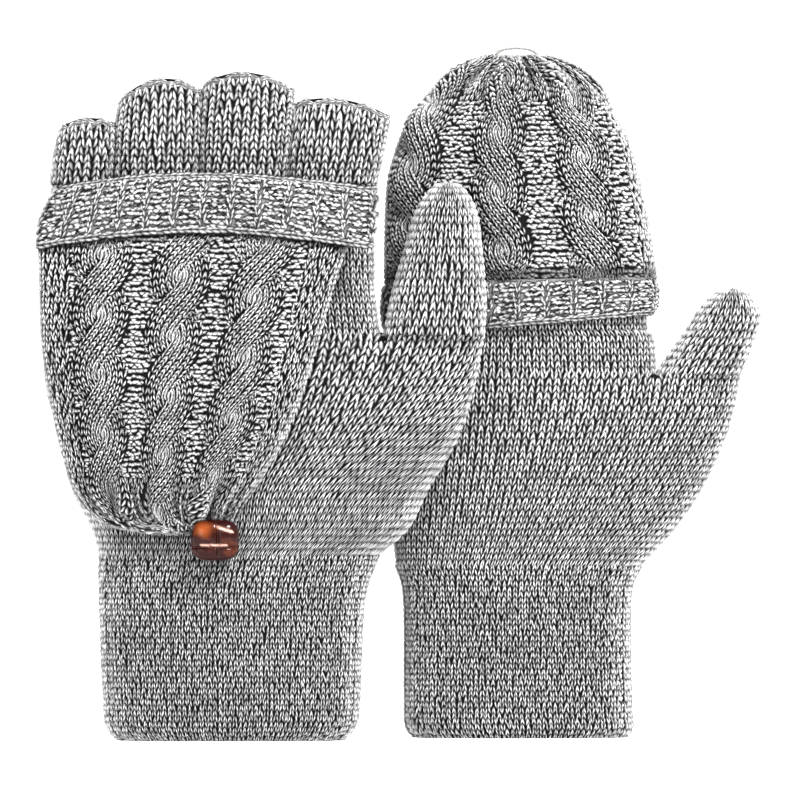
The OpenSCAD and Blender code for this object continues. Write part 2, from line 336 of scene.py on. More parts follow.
@dataclass(frozen=True)
class LegShape:
    """One strand of yarn in a stitch, drawn in wales (p), courses (q) and millimetres (r)."""

    start: tuple[float, float]
    end: tuple[float, float]
    bow: float
    width: float
    rise: float
    sink: float
    across: int = 3         # points across the strand
    along: int = 5          # and along it
    least: float = 0.35     # width where the strand would run out, as a share of the middle's
    fall: float = 0.85      # how far the edges drop, as a share of the height
    dim: float = 0.25       # painted light at the ends, where the strand dives into the fabric's shade

    def strand(self) -> tuple[Array, Array]:
        """Draws the strand.

        Returns:
            Points (p, q, r, painted light), and the strip's quads.
        """
        t = np.linspace(0, 1, self.along)
        p = self.start[0] + (self.end[0] - self.start[0]) * t
        q = self.start[1] + (self.end[1] - self.start[1]) * t
        dp, dq = self.end[0] - self.start[0], self.end[1] - self.start[1]
        size = math.hypot(dp, dq)
        np_, nq = dq / size, -dp / size
        arch = np.sin(np.pi * t)
        p, q = p + np_ * self.bow * arch, q + nq * self.bow * arch
        plump = np.sin(np.pi * (0.08 + 0.84 * t)) ** 0.7
        half = self.width / 2 * (self.least + (1 - self.least) * plump)
        crest = self.sink + (self.rise - self.sink) * np.sin(np.pi * (0.06 + 0.88 * t)) ** 0.8
        rows = []
        for k in range(self.along):
            for side in np.linspace(-1, 1, self.across):
                drop = abs(side) ** 2 * self.fall * (self.rise - self.sink)
                # Painted shade across the strand: lit on its crest, darker at its edges and ends.
                bright = (1 - side**2) * (self.dim + (1 - self.dim) * arch[k])
                rows.append((p[k] + np_ * side * half[k], q[k] + nq * side * half[k], crest[k] - drop, bright))
        return np.array(rows), grid_quads(self.along, self.across)


KNIT_LEGS = (
    LegShape(start=(-0.07, -0.18), end=(-0.37, 1.18), bow=-0.08, width=0.42, rise=0.55, sink=-0.55),
    LegShape(start=(0.07, -0.18), end=(0.37, 1.18), bow=0.08, width=0.42, rise=0.55, sink=-0.55),
)
PURL_LEGS = (
    LegShape(start=(-0.50, 0.24), end=(0.50, 0.24), bow=-0.26, width=0.66, rise=0.45, sink=-0.50),
    LegShape(start=(0.02, 0.78), end=(0.98, 0.78), bow=0.24, width=0.62, rise=0.35, sink=-0.50),
)
LEGS = {Stitch.KNIT: KNIT_LEGS, Stitch.PURL: PURL_LEGS}


@dataclass
class Stitches:
    """Stitches placed in pattern space: a in turns, b and h in millimetres."""

    a: Array
    b: Array
    h: Array
    wale: Array          # turns per wale
    course: Array        # millimetres per course
    lean_a: Array | float = 0.0   # turns that a course moves sideways
    lean_b: Array | float = 0.0   # millimetres that a wale moves up
    kind: Stitch = Stitch.KNIT
    lift: float = 1.0    # scales the strands' height
    width: float = 1.0   # scales the strands' width


def knit(parts: MeshParts, surface: Surface, stitches: Stitches,
         height: Callable[[Array, Array], Array] | None = None, jitter: float = 0.05,
         bright: Array | float = 1.0) -> None:
    """Adds the strands of a set of stitches.

    Args:
        parts: Where the geometry goes.
        surface: What the stitches lie on.
        stitches: Their places and steps.
        height: Extra height at (a, b), worked out at every point.
        jitter: How uneven the stitches are, in stitches.
        bright: Scales the painted light of each stitch; 0 paints it black, as a gap in shade.
    """
    n = len(stitches.a)
    if n == 0:
        return
    steps = (stitches.wale, stitches.course, stitches.lean_a, stitches.lean_b)
    wale, course, lean_a, lean_b = (np.broadcast_to(step, n)[:, None] for step in steps)
    for leg in LEGS[stitches.kind]:
        shape, quads = replace(leg, width=leg.width * stitches.width).strand()
        shift = RNG.normal(0, jitter, (n, 2))
        swell = 1 + RNG.normal(0, SIZE_SPREAD, (n, 1))
        p = shape[None, :, 0] * swell + shift[:, :1]
        q = shape[None, :, 1] + shift[:, 1:]
        a = stitches.a[:, None] + p * wale + q * lean_a
        b = stitches.b[:, None] + q * course + p * lean_b
        h = stitches.h[:, None] + shape[None, :, 2] * stitches.lift
        if height is not None:
            h = h + height(a, b)
        faces = quads[None] + (np.arange(n) * len(shape))[:, None, None]
        tint = np.repeat(np.clip(0.5 + RNG.normal(0, TINT_SPREAD, n), 0, 1), len(shape))
        # Painted shade: each point's crest value times its stitch's painted light.
        crest = np.tile(shape[:, 3], n) * np.repeat(np.broadcast_to(bright, n), len(shape))
        parts.add(surface.at(a, b, h), faces, tint, crest, 0)


def wale_grid(wales: int, first: int, last: int, low: float, high: float,
              course: float = COURSE) -> tuple[Array, Array, Array, Array]:
    """Lays a regular grid of stitches.

    Args:
        wales: Wales in a whole turn.
        first: First wale.
        last: One past the last wale.
        low: Millimetres along where the first course starts.
        high: Where the last course ends.
        course: Wanted course height.

    Returns:
        Wale numbers, course numbers, a and b of every stitch.
    """
    rows = max(1, int(round((high - low) / course)))
    i, j = np.meshgrid(np.arange(first, last), np.arange(rows), indexing="ij")
    i, j = i.ravel(), j.ravel()
    return i, j, (i + 0.5) / wales, low + (high - low) * j / rows


def shell(parts: MeshParts, surface: Surface, a_range: tuple[float, float], b_range: tuple[float, float],
          steps: tuple[int, int], outer: float, inner: float, slots: tuple[int, int],
          relief: Callable[[Array, Array], Array] | None = None, crest: float = 0.0) -> None:
    """Adds the closed cloth wall that lies under the stitches; its outer face is painted as shade between them.

    Args:
        parts: Where the geometry goes.
        surface: What it follows.
        a_range: From and to, in turns; a whole turn closes on itself.
        b_range: From and to, in millimetres.
        steps: Steps round and along.
        outer: Height of the outer face.
        inner: Height of the inner face.
        slots: Material numbers of the outer and inner faces.
        relief: Extra height of the outer face at (a, b).
        crest: Painted light of the outer face; 0 paints it as a black hollow in shade.
    """
    closed = abs(a_range[1] - a_range[0] - 1) < 1e-6
    m, n = steps
    a = np.linspace(*a_range, m + 1)[: m if closed else m + 1]
    b = np.linspace(*b_range, n + 1)
    aa, bb = np.meshgrid(a, b)
    rise = relief(aa, bb) if relief else 0 * aa
    drift, surface.drift = surface.drift, None
    top = surface.at(aa, bb, outer + rise)
    low = surface.at(aa, bb, inner + 0 * aa)
    surface.drift = drift
    w = len(a)
    points = np.concatenate([top.reshape(-1, 3), low.reshape(-1, 3)])
    base, t = len(points) // 2, n * w
    out = grid_quads(n + 1, w, (False, closed))
    i = np.arange(w if closed else w - 1)
    k = (i + 1) % w
    walls = [(out + base)[:, ::-1], np.stack([i + base, k + base, k, i], -1),
             np.stack([t + i, t + k, t + k + base, t + i + base], -1)]
    if not closed:
        j, e = np.arange(n), w - 1
        walls.append(np.stack([j * w, (j + 1) * w, (j + 1) * w + base, j * w + base], -1))
        walls.append(np.stack([j * w + e + base, (j + 1) * w + e + base, (j + 1) * w + e, j * w + e], -1))
    count = parts.count
    parts.add(points, out, 0.5, crest, slots[0])
    parts.quads.append(np.concatenate(walls) + count)
    parts.slots.append(np.full(len(parts.quads[-1]), slots[1], np.int32))


def twisted_cord(parts: MeshParts, path: Array, radius: float, plies: int, turns_per_mm: float,
                 closed: bool = False) -> None:
    """Adds a cord of twisted plies along a path.

    Args:
        parts: Where the geometry goes.
        path: Points along the cord's middle, in millimetres.
        radius: Radius of the whole cord.
        plies: Number of strands twisted together.
        turns_per_mm: How fast they twist.
        closed: True where the path runs back to its start.
    """
    n = len(path)
    ahead = np.roll(path, -1, 0) - np.roll(path, 1, 0) if closed else np.gradient(path, axis=0)
    ahead /= np.maximum(np.linalg.norm(ahead, axis=1, keepdims=True), 1e-9)
    s = np.concatenate([[0], np.cumsum(np.linalg.norm(np.diff(path, axis=0), axis=1))])
    whole = max(1, round(s[-1] * turns_per_mm)) if closed else s[-1] * turns_per_mm
    side = np.zeros_like(path)
    side[0] = np.cross(ahead[0], [0.31, 0.52, 0.79])
    for k in range(n):
        v = side[max(k - 1, 0)]
        v = v - ahead[k] * (v @ ahead[k])
        side[k] = v / np.linalg.norm(v)
    up = np.cross(ahead, side)
    reach = radius * (0.5 if plies > 1 else 0.0)
    thick = radius * (0.58 if plies > 1 else 1.0)
    ring = 2 * np.pi * np.arange(CORD_SIDES) / CORD_SIDES
    quads = grid_quads(n, CORD_SIDES, (closed, True))
    if not closed:
        ends = []
        for at, turn in ((0, -1), ((n - 1) * CORD_SIDES, 1)):
            ids = [at + q for q in range(CORD_SIDES)][::turn]
            ends += [(ids[q], ids[q + 1], ids[-2 - q], ids[-1 - q]) for q in range(CORD_SIDES // 2 - 1)]
        quads = np.concatenate([quads, np.array(ends)])
    for ply in range(plies):
        angle = 2 * np.pi * (s / s[-1] * whole + ply / plies)
        middle = path + reach * (np.cos(angle)[:, None] * side + np.sin(angle)[:, None] * up)
        around = np.cos(ring)[None, :, None] * side[:, None] + np.sin(ring)[None, :, None] * up[:, None]
        # A little painted shade: every cord point gets a painted light of 0.85.
        parts.add(middle[:, None] + thick * around, quads, 0.5, 0.85, 0)


# ---------------------------------------------------------------------------
# Finishes
# ---------------------------------------------------------------------------

Colour = tuple[float, float, float, float]


def new_group(name: str, inputs: Sequence[tuple[str, str, object]],
              outputs: Sequence[tuple[str, str]]) -> bpy.types.NodeTree:
    """Starts a shader node group with named sockets.

    Args:
        name: The group's name.
        inputs: Name, socket type and default of each input.
        outputs: Name and socket type of each output.

    Returns:
        The group, with its input and output nodes.
    """
    group = bpy.data.node_groups.new(name, "ShaderNodeTree")
    for label, kind, value in inputs:
        made = group.interface.new_socket(name=label, in_out="INPUT", socket_type=kind)
        if value is not None:
            made.default_value = value
    for label, kind in outputs:
        group.interface.new_socket(name=label, in_out="OUTPUT", socket_type=kind)
    group.nodes.new("NodeGroupInput").name = "in"
    group.nodes.new("NodeGroupOutput").name = "out"
    return group


def feed(tree: bpy.types.NodeTree, value: object, socket: bpy.types.NodeSocket) -> None:
    """Links a value to an input where it is a socket, and sets it there where it is a number or colour.

    Args:
        tree: The node tree.
        value: A socket, a number or a colour.
        socket: The input.
    """
    if isinstance(value, bpy.types.NodeSocket):
        tree.links.new(value, socket)
    else:
        socket.default_value = value


def add_math(tree: bpy.types.NodeTree, kind: str, a: object, b: object,
             clamp: bool = False) -> bpy.types.NodeSocket:
    """Adds a Math node.

    Args:
        tree: The node tree.
        kind: The node's operation.
        a: First socket or number.
        b: Second socket or number.
        clamp: True to keep the result between 0 and 1.

    Returns:
        The node's output.
    """
    node = tree.nodes.new("ShaderNodeMath")
    node.operation = kind
    node.use_clamp = clamp
    feed(tree, a, node.inputs[0])
    feed(tree, b, node.inputs[1])
    return node.outputs[0]


def add_noise(tree: bpy.types.NodeTree, vector: bpy.types.NodeSocket, scale: float,
              detail: float) -> bpy.types.NodeSocket:
    """Adds a Noise Texture.

    Args:
        tree: The node tree.
        vector: Where it is read.
        scale: Its scale, in noise cells per metre.
        detail: Its detail.

    Returns:
        Its value.
    """
    node = tree.nodes.new("ShaderNodeTexNoise")
    node.inputs["Scale"].default_value = scale
    node.inputs["Detail"].default_value = detail
    tree.links.new(vector, node.inputs["Vector"])
    return node.outputs["Fac"]


def add_mix(tree: bpy.types.NodeTree, factor: bpy.types.NodeSocket, a: object, b: object) -> bpy.types.NodeSocket:
    """Adds a colour Mix node.

    Args:
        tree: The node tree.
        factor: The share of b.
        a: First socket or colour.
        b: Second socket or colour.

    Returns:
        The mixed colour.
    """
    node = tree.nodes.new("ShaderNodeMix")
    node.data_type = "RGBA"
    tree.links.new(factor, node.inputs[0])
    feed(tree, a, node.inputs[6])
    feed(tree, b, node.inputs[7])
    return node.outputs[2]


def add_swing(tree: bpy.types.NodeTree, noise: bpy.types.NodeSocket, amount: float) -> bpy.types.NodeSocket:
    """Turns a noise value into a swing about zero, amount high from its lowest to its highest."""
    return add_math(tree, "MULTIPLY", add_math(tree, "SUBTRACT", noise, 0.5), amount)


def add_attribute(tree: bpy.types.NodeTree, name: str) -> bpy.types.NodeSocket:
    """Adds a node that reads a mesh attribute.

    Args:
        tree: The node tree.
        name: The attribute's name.

    Returns:
        Its value.
    """
    node = tree.nodes.new("ShaderNodeAttribute")
    node.attribute_name = name
    return node.outputs["Fac"]


def add_bump(tree: bpy.types.NodeTree, shader: bpy.types.Node, height: bpy.types.NodeSocket, strength: float,
             depth_mm: float) -> None:
    """Roughens a shader's surface by a height.

    Args:
        tree: The node tree.
        shader: The Principled BSDF.
        height: The height pattern, 0 to 1.
        strength: The Bump node's strength.
        depth_mm: How deep the pattern is, in millimetres.
    """
    node = tree.nodes.new("ShaderNodeBump")
    node.inputs["Strength"].default_value = strength
    node.inputs["Distance"].default_value = depth_mm / MM
    tree.links.new(height, node.inputs["Height"])
    tree.links.new(node.outputs["Normal"], shader.inputs["Normal"])


def heather_group() -> bpy.types.NodeTree:
    """Makes the heather yarn group: light and dark fibres spun together, with painted shade that darkens them down in
    the fabric.

    Returns:
        The group, with outputs Color and Height.
    """
    found = bpy.data.node_groups.get("heather_yarn")
    if found:
        return found
    number, colour = "NodeSocketFloat", "NodeSocketColor"
    group = new_group(
        "heather_yarn",
        [("Vector", "NodeSocketVector", None), ("Tint", number, 0.5), ("Painted Light", number, 1.0),
         ("Light", colour, (0.6, 0.6, 0.6, 1)), ("Dark", colour, (0.3, 0.3, 0.3, 1)),
         ("Hollow Shade", colour, (0.02, 0.02, 0.02, 1)), ("Fleck", number, 0.5)],
        [("Color", colour), ("Height", number)])
    start, end = group.nodes["in"].outputs, group.nodes["out"].inputs
    fibre = add_noise(group, start["Vector"], 1700.0, 3.0)
    fleck = add_noise(group, start["Vector"], 520.0, 2.0)
    cloud = add_noise(group, start["Vector"], 42.0, 2.0)
    blend = add_math(group, "ADD", add_math(group, "ADD", start["Tint"], add_swing(group, fleck, start["Fleck"])),
                     add_math(group, "ADD", add_swing(group, cloud, 0.5), add_swing(group, fibre, 0.9)), clamp=True)
    yarn = add_mix(group, blend, start["Dark"], start["Light"])
    # Painted shade: the yarn blends towards the hollow colour where the painted light is low.
    depth = add_math(group, "POWER", start["Painted Light"], 1.5, clamp=True)
    group.links.new(add_mix(group, depth, start["Hollow Shade"], yarn), end["Color"])
    group.links.new(fibre, end["Height"])
    return group


def new_material(name: str, preview: Colour,
                 values: dict[str, object]) -> tuple[bpy.types.Material, bpy.types.Node, bpy.types.NodeSocket]:
    """Starts a node material.

    Args:
        name: The material's name.
        preview: Its colour in a plain viewport.
        values: What is the same all over, by the name of the shader's socket.

    Returns:
        The material, its Principled BSDF and a socket with Object coordinates.
    """
    material = bpy.data.materials.new(name)
    material.use_nodes = True
    material.diffuse_color = preview
    shader = material.node_tree.nodes["Principled BSDF"]
    for label, value in values.items():
        shader.inputs[label].default_value = value
    return material, shader, material.node_tree.nodes.new("ShaderNodeTexCoord").outputs["Object"]


@dataclass(frozen=True)
class YarnFinish:
    """Heather yarn, as it looks on one kind of stitch."""

    name: str
    light: Colour
    dark: Colour
    # Near-black colour painted as shade down between the stitches.
    hollow_shade: Colour
    fleck: float = 0.7
    roughness: float = 0.85
    sheen: float = 0.12
    sheen_roughness: float = 0.5
    specular: float = 0.12
    bump: float = 0.6
    bump_mm: float = 0.12

    def make(self) -> bpy.types.Material:
        """Builds the material.

        Returns:
            The material, which reads the points' tint and painted light.
        """
        material, shader, place = new_material(self.name, self.light, {
            "Roughness": self.roughness, "Sheen Weight": self.sheen, "Sheen Roughness": self.sheen_roughness,
            "Specular IOR Level": self.specular})
        tree = material.node_tree
        group = tree.nodes.new("ShaderNodeGroup")
        group.node_tree = heather_group()
        for label, value in (("Vector", place), ("Tint", add_attribute(tree, "tint")),
                             ("Painted Light", add_attribute(tree, "crest")), ("Light", self.light), ("Dark", self.dark),
                             ("Hollow Shade", self.hollow_shade), ("Fleck", self.fleck)):
            feed(tree, value, group.inputs[label])
        tree.links.new(group.outputs["Color"], shader.inputs["Base Color"])
        add_bump(tree, shader, group.outputs["Height"], self.bump, self.bump_mm)
        return material


@dataclass(frozen=True)
class LeatherFinish:
    """Glossy moulded leather look for the buttons, with a painted amber highlight and painted glints."""

    name: str = "button_leather"
    light: Colour = (0.27, 0.066, 0.012, 1)
    dark: Colour = (0.026, 0.003, 0.002, 1)
    # Pale colour of the painted glints along the seam and the upper edge.
    glint: Colour = (0.80, 0.50, 0.42, 1)
    patch_scale: float = 160.0
    patch_share: float = 1.6
    grain_scale: float = 1500.0
    grain: float = 0.25
    grain_mm: float = 0.08
    roughness: float = 0.14
    patch_roughness: float = 0.2
    coat: float = 0.7
    coat_ior: float = 1.28
    coat_roughness: float = 0.06
    specular: float = 0.1

    def make(self) -> bpy.types.Material:
        """Builds the material.

        Returns:
            The material, which reads the points' painted amber highlight and painted glints.
        """
        material, shader, place = new_material(self.name, self.light, {
            "Coat Weight": self.coat, "Coat IOR": self.coat_ior, "Coat Roughness": self.coat_roughness,
            "Specular IOR Level": self.specular})
        tree = material.node_tree
        patch = add_noise(tree, place, self.patch_scale, 3.0)
        # Random tone of the leather, lifted by the painted amber highlight.
        ramp = add_math(tree, "ADD", add_attribute(tree, "amber_highlight"), add_swing(tree, patch, self.patch_share),
                        clamp=True)
        leather = add_mix(tree, ramp, self.dark, self.light)
        tree.links.new(add_mix(tree, add_attribute(tree, "glint"), leather, self.glint), shader.inputs["Base Color"])
        grain = tree.nodes.new("ShaderNodeTexVoronoi")
        grain.inputs["Scale"].default_value = self.grain_scale
        tree.links.new(place, grain.inputs["Vector"])
        add_bump(tree, shader, grain.outputs["Distance"], self.grain, self.grain_mm)
        rough = add_math(tree, "ADD", add_math(tree, "MULTIPLY", patch, self.patch_roughness), self.roughness)
        tree.links.new(rough, shader.inputs["Roughness"])
        return material


@dataclass(frozen=True)
class CordFinish:
    """Covered elastic or sewing thread: fine diagonal wrapping over a core colour."""

    name: str
    light: Colour
    dark: Colour
    roughness: float = 0.6
    wrap_scale: float = 900.0
    wrap_distortion: float = 1.5
    bump: float = 0.5
    bump_mm: float = 0.1

    def make(self) -> bpy.types.Material:
        """Builds the material.

        Returns:
            The material.
        """
        material, shader, place = new_material(self.name, self.light, {"Roughness": self.roughness})
        tree = material.node_tree
        wrap = tree.nodes.new("ShaderNodeTexWave")
        wrap.bands_direction = "DIAGONAL"
        wrap.inputs["Scale"].default_value = self.wrap_scale
        wrap.inputs["Distortion"].default_value = self.wrap_distortion
        tree.links.new(place, wrap.inputs["Vector"])
        tree.links.new(add_mix(tree, wrap.outputs["Fac"], self.dark, self.light), shader.inputs["Base Color"])
        add_bump(tree, shader, wrap.outputs["Fac"], self.bump, self.bump_mm)
        return material


@dataclass
class Wardrobe:
    """Every material of the pair, made once."""

    yarn: bpy.types.Material
    rib: bpy.types.Material
    core: bpy.types.Material
    lining: bpy.types.Material
    leather: bpy.types.Material
    thread: bpy.types.Material
    elastic: bpy.types.Material

    @classmethod
    def stock(cls) -> "Wardrobe":
        """Makes all the materials.

        Returns:
            The wardrobe.
        """
        return cls(
            yarn=YarnFinish("yarn_plain", (1.0, 1.0, 1.0, 1), (0.42, 0.42, 0.425, 1),
                            (0.006, 0.006, 0.0065, 1)).make(),
            rib=YarnFinish("yarn_rib", (0.86, 0.86, 0.86, 1), (0.36, 0.36, 0.365, 1),
                           (0.01, 0.01, 0.0105, 1)).make(),
            # The core is the near-black cloth under the stitches, painted as shade between them.
            core=YarnFinish("yarn_core", (0.03, 0.03, 0.03, 1), (0.01, 0.01, 0.01, 1), (0.008, 0.008, 0.009, 1),
                            sheen=0.0).make(),
            lining=YarnFinish("yarn_inside", (0.40, 0.40, 0.40, 1), (0.22, 0.22, 0.225, 1),
                              (0.2, 0.2, 0.2, 1), bump_mm=0.4).make(),
            leather=LeatherFinish().make(),
            thread=CordFinish("shank_thread", (0.06, 0.045, 0.04, 1), (0.02, 0.015, 0.013, 1)).make(),
            elastic=CordFinish("loop_elastic", (0.42, 0.42, 0.41, 1), (0.26, 0.26, 0.25, 1), 0.5).make(),
        )

    def knit_set(self, rib: bool = False) -> list[bpy.types.Material]:
        """The materials of a knit piece: stitches, the near-black outer core painted as shade between them, inner
        face.
        """
        return [self.rib if rib else self.yarn, self.core, self.lining]


# ---------------------------------------------------------------------------
# Shapes that the pieces share
# ---------------------------------------------------------------------------

def node_box(node: str) -> tuple[Array, Array]:
    """The lowest and the highest corner of a CAD node, in millimetres."""
    low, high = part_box(node)
    return np.array(low) * MM, np.array(high) * MM


def frame_rows(node: str) -> list[tuple[float, ...]]:
    """Reads the sections of a tube from its node, whose corners lie on a few levels.

    Args:
        node: Name of the CAD node.

    Returns:
        Rows of (z, left, right, front, back) in millimetres, from the bottom up.
    """
    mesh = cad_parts[node].data
    spots = np.empty(len(mesh.vertices) * 3, np.float32)
    mesh.vertices.foreach_get("co", spots)
    spots = spots.reshape(-1, 3).astype(float) * MM
    levels = np.round(spots[:, 2], 1)
    rows = []
    for z in np.unique(levels):
        ring = spots[levels == z]
        rows.append((float(z), ring[:, 0].min(), ring[:, 0].max(), ring[:, 1].min(), ring[:, 1].max()))
    return rows


def tube_depth(x: Array, row: Sequence[float], squareness: float = SQUARENESS) -> Array:
    """Half depth of a section at x, and 0 outside it."""
    u = (x - (row[1] + row[2]) / 2) / ((row[2] - row[1]) / 2)
    return (row[4] - row[3]) / 2 * np.clip(1 - np.abs(u) ** squareness, 0, 1) ** (1 / squareness)


def split_tube(surface: Surface, first: Sequence[float], second: Sequence[float], low: float) -> None:
    """Draws the top of a tube in, so that it runs into two tubes side by side.

    Args:
        surface: The tube, changed in place.
        first: Section of one tube at the top.
        second: Section of the other.
        low: Height at which the split starts to show.
    """
    top = first[0]

    def move(a: Array, b: Array, p: Array) -> Array:
        """Draws the front and the back towards the two sections, but not at the outer sides.

        Args:
            a: Turns round the tube.
            b: Millimetres along it.
            p: The grid's points.

        Returns:
            How each point moves.
        """
        share = smooth_step(p[..., 2], low, top) ** 1.6
        middle = (first[3] + first[4]) / 2
        depth = np.maximum(tube_depth(p[..., 0], first), tube_depth(p[..., 0], second))
        goal = middle + np.sign(p[..., 1] - middle) * np.maximum(depth, 1.0)
        out = np.zeros_like(p)
        inside = np.minimum(p[..., 0] - min(first[1], second[1]), max(first[2], second[2]) - p[..., 0])
        near = smooth_step(inside, 3.0, 16.0)
        out[..., 1] = (goal - p[..., 1]) * share * near
        return out

    surface.warp(move)


@dataclass
class Piece:
    """What every piece of the pair has: its CAD node, its body and its finish slot."""

    node: str
    body: str
    slot_name: str

    def place(self, made: bpy.types.Object) -> bpy.types.Object:
        """Rides the piece on its body and lets it stand for its node.

        Args:
            made: The finished object.

        Returns:
            The same object.
        """
        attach(made, self.body)
        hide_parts(self.node)
        LOG.info("%s: %d faces", made.name, len(made.data.polygons))
        return made


@dataclass
class KnitTube(Piece):
    """A tube knitted in the round: stitches outside, a cloth wall and a purl lining inside."""

    wales: int = 100
    course: float = COURSE
    rib_depth: float = 0.0
    squareness: float = SQUARENESS
    top_inset: float = 0.0
    yarn_width: float = 1.0
    jitter: float = 0.06
    swell: float = 0.0   # mm that the surface stands over its node

    def swelled(self, made: Surface) -> Surface:
        """Raises a surface by the tube's swell."""
        return made.relief(lambda a, b, p: self.swell + 0 * a)

    def surface(self) -> Surface:
        """The surface of the tube, from its node's sections."""
        return self.swelled(loft(frame_rows(self.node), squareness=self.squareness))

    def rib(self, a: Array, b: Array) -> Array:
        """Soft ribs: two wales out, two wales in."""
        return self.rib_depth * np.cos(2 * np.pi * a * self.wales / 4)

    def make(self, wardrobe: Wardrobe) -> bpy.types.Object:
        """Builds and dresses the tube.

        Args:
            wardrobe: The materials.

        Returns:
            The finished object.
        """
        parts, surface = MeshParts(), self.surface()
        _, j, a, b = wale_grid(self.wales, 0, self.wales, 0.0, surface.length - self.top_inset, self.course)
        stitches = Stitches(a, b, self.rib(a, b), 1 / self.wales, (b.max() - b.min()) / max(j.max(), 1),
                            width=self.yarn_width)
        knit(parts, surface, stitches, jitter=self.jitter)
        steps = max(48, self.wales), max(16, int(surface.length / 2))
        shell(parts, surface, (0, 1), (0, surface.length), steps, -SHELL_DROP, -WALL + 0.5, (1, 2), self.rib)
        return self.place(parts.build(f"{self.node}_knit", wardrobe.knit_set()))


@dataclass
class Hand(KnitTube):
    """The palm and back, which part into the knuckles and the thumb at the top."""

    split_low: float = 118.0     # z at which the split starts to show
    thumb_sweep: float = 0.15    # turns that the gusset's wales lean
    gusset_length: float = 85.0  # mm over which they do

    def surface(self) -> Surface:
        """The tube, drawn in where the thumb leaves it.

        Returns:
            The surface, whose wales drift with the gusset.
        """
        side = self.node.split("_")[0]
        made = loft(frame_rows(self.node), squareness=self.squareness)
        split_tube(made, frame_rows(f"{side}_knuckles")[0], frame_rows(f"{side}_thumb")[0], self.split_low)
        made.drift = self.sweep
        return self.swelled(made)

    def sweep(self, a: Array, b: Array) -> Array:
        """Leans the wales of the gusset towards the thumb."""
        share = smooth_step(b, 0.0, self.gusset_length)
        return self.thumb_sweep * share * (smooth_step(a, 0.36, 0.68) - smooth_step(a, 0.82, 1.0))


@dataclass
class Finger(KnitTube):
    """A half finger: an open tube whose top slopes with the hand."""

    tops: tuple[float, float, float] = (0.0, 0.0, 0.0)     # mm that the top's left, middle and right stand up
    bulges: tuple[float, float, float] = (0.5, 1.1, 0.5)   # mm that foot, middle and top bulge to each side
    slope_from: float = 0.35                               # share of the height where the slope starts

    def surface(self) -> Surface:
        """The tube with its sloping top.

        Returns:
            The surface.
        """
        rows = frame_rows(self.node)
        low, top = list(rows[0]), list(rows[-1])
        middle = [(p + q) / 2 for p, q in zip(low, top)]
        for ring, more in zip((low, middle, top), self.bulges):
            ring[1] -= more
            ring[2] += more
        made = loft([low, middle, top], levels=60, around=160, squareness=self.squareness)
        made.warp(self.slope)
        return made

    def slope(self, a: Array, b: Array, p: Array) -> Array:
        """Lifts the top along a curve through its left, middle and right.

        Args:
            a: Turns round the tube.
            b: Millimetres along it.
            p: The grid's points.

        Returns:
            How each point moves.
        """
        low, high = node_box(self.node)
        u = np.clip((p[..., 0] - low[0]) / (high[0] - low[0]), 0, 1)
        share = smooth_step(p[..., 2], low[2] + self.slope_from * (high[2] - low[2]), high[2])
        out = np.zeros_like(p)
        left, middle, right = self.tops
        out[..., 2] = share * (left * (1 - u) * (1 - 2 * u) + 4 * middle * u * (1 - u) + right * u * (2 * u - 1))
        return out


@dataclass
class Thumb(KnitTube):
    """A thumb tube that closes in a gathered dome."""

    dome: tuple[tuple[float, float], ...] = ((0.2, 0.55), (0.5, 0.12))   # mm above the tube, and share of its width

    def surface(self) -> Surface:
        """The tube and its dome, closed to a small ring.

        Returns:
            The surface.
        """
        rows = frame_rows(self.node)
        z, left, right, front, back = rows[-1]
        mx, my = (left + right) / 2, (front + back) / 2
        for rise, share in self.dome:
            half_x, half_y = (right - left) / 2 * share, (back - front) / 2 * share
            rows.append((z + rise, mx - half_x, mx + half_x, my - half_y, my + half_y))
        return self.swelled(loft(rows, squareness=2.2))


@dataclass
class FingerEdges(Piece):
    """The rolled bound-off edges of the four half fingers."""

    fingers: Sequence[Finger] = ()
    roll: float = 1.45          # radius of the roll
    pitch: float = 2.6          # mm from stitch to stitch
    proud: float = 0.1          # how far the roll stands out of the tube's side
    wavy: tuple[float, float] = (0.45, 0.3)   # mm that the edge rises and falls, in two waves

    def rim(self, finger: Finger) -> tuple[Surface, int]:
        """The roll round a finger's top.

        Args:
            finger: The finger.

        Returns:
            The roll's surface and how many stitches go round it.
        """
        tube = finger.surface()
        ring, out = tube.grid[-1], tube.normals[-1]
        out = out * [1, 1, 0]
        out /= np.linalg.norm(out, axis=1, keepdims=True)
        up = np.array([0, 0, 1.0])
        turn = np.arange(len(ring)) / len(ring) * 2 * np.pi
        wave = self.wavy[0] * np.sin(7 * turn) + self.wavy[1] * np.sin(12 * turn + 1.0)
        centre = ring - out * (self.roll - self.proud) + up * (-self.roll + wave[:, None])
        grid = [centre + self.roll * (math.cos(t) * out + math.sin(t) * up)
                for t in np.radians(np.linspace(-75, 195, 24))]
        total = np.linalg.norm(np.diff(np.vstack([ring, ring[:1]]), axis=0), axis=1).sum()
        return Surface(np.stack(grid)), int(total / self.pitch)

    def make(self, wardrobe: Wardrobe) -> bpy.types.Object:
        """Builds a rolled rim on every finger.

        Args:
            wardrobe: The materials.

        Returns:
            The finished object.
        """
        parts = MeshParts()
        for finger in self.fingers:
            rim, count = self.rim(finger)
            for low, high in ((0.3, 2.6), (2.4, 4.8)):
                a = (np.arange(count) + RNG.uniform(0, 0.3)) / count
                row = Stitches(a, np.full(count, (low + high) / 2), np.full(count, -0.1), 0.0, 0.0,
                               lean_a=1 / count, lean_b=(low - high) * 0.95, lift=0.9, width=1.3)
                knit(parts, rim, row)
            # The roll's cloth is painted at half light, as shade between its stitches.
            shell(parts, rim, (0, 1), (0, rim.length), (72, 12), -0.35, -0.9, (0, 2), crest=0.5)
        return self.place(parts.build(f"{self.node}_knit", wardrobe.knit_set(True)))


# ---------------------------------------------------------------------------
# Caps
# ---------------------------------------------------------------------------

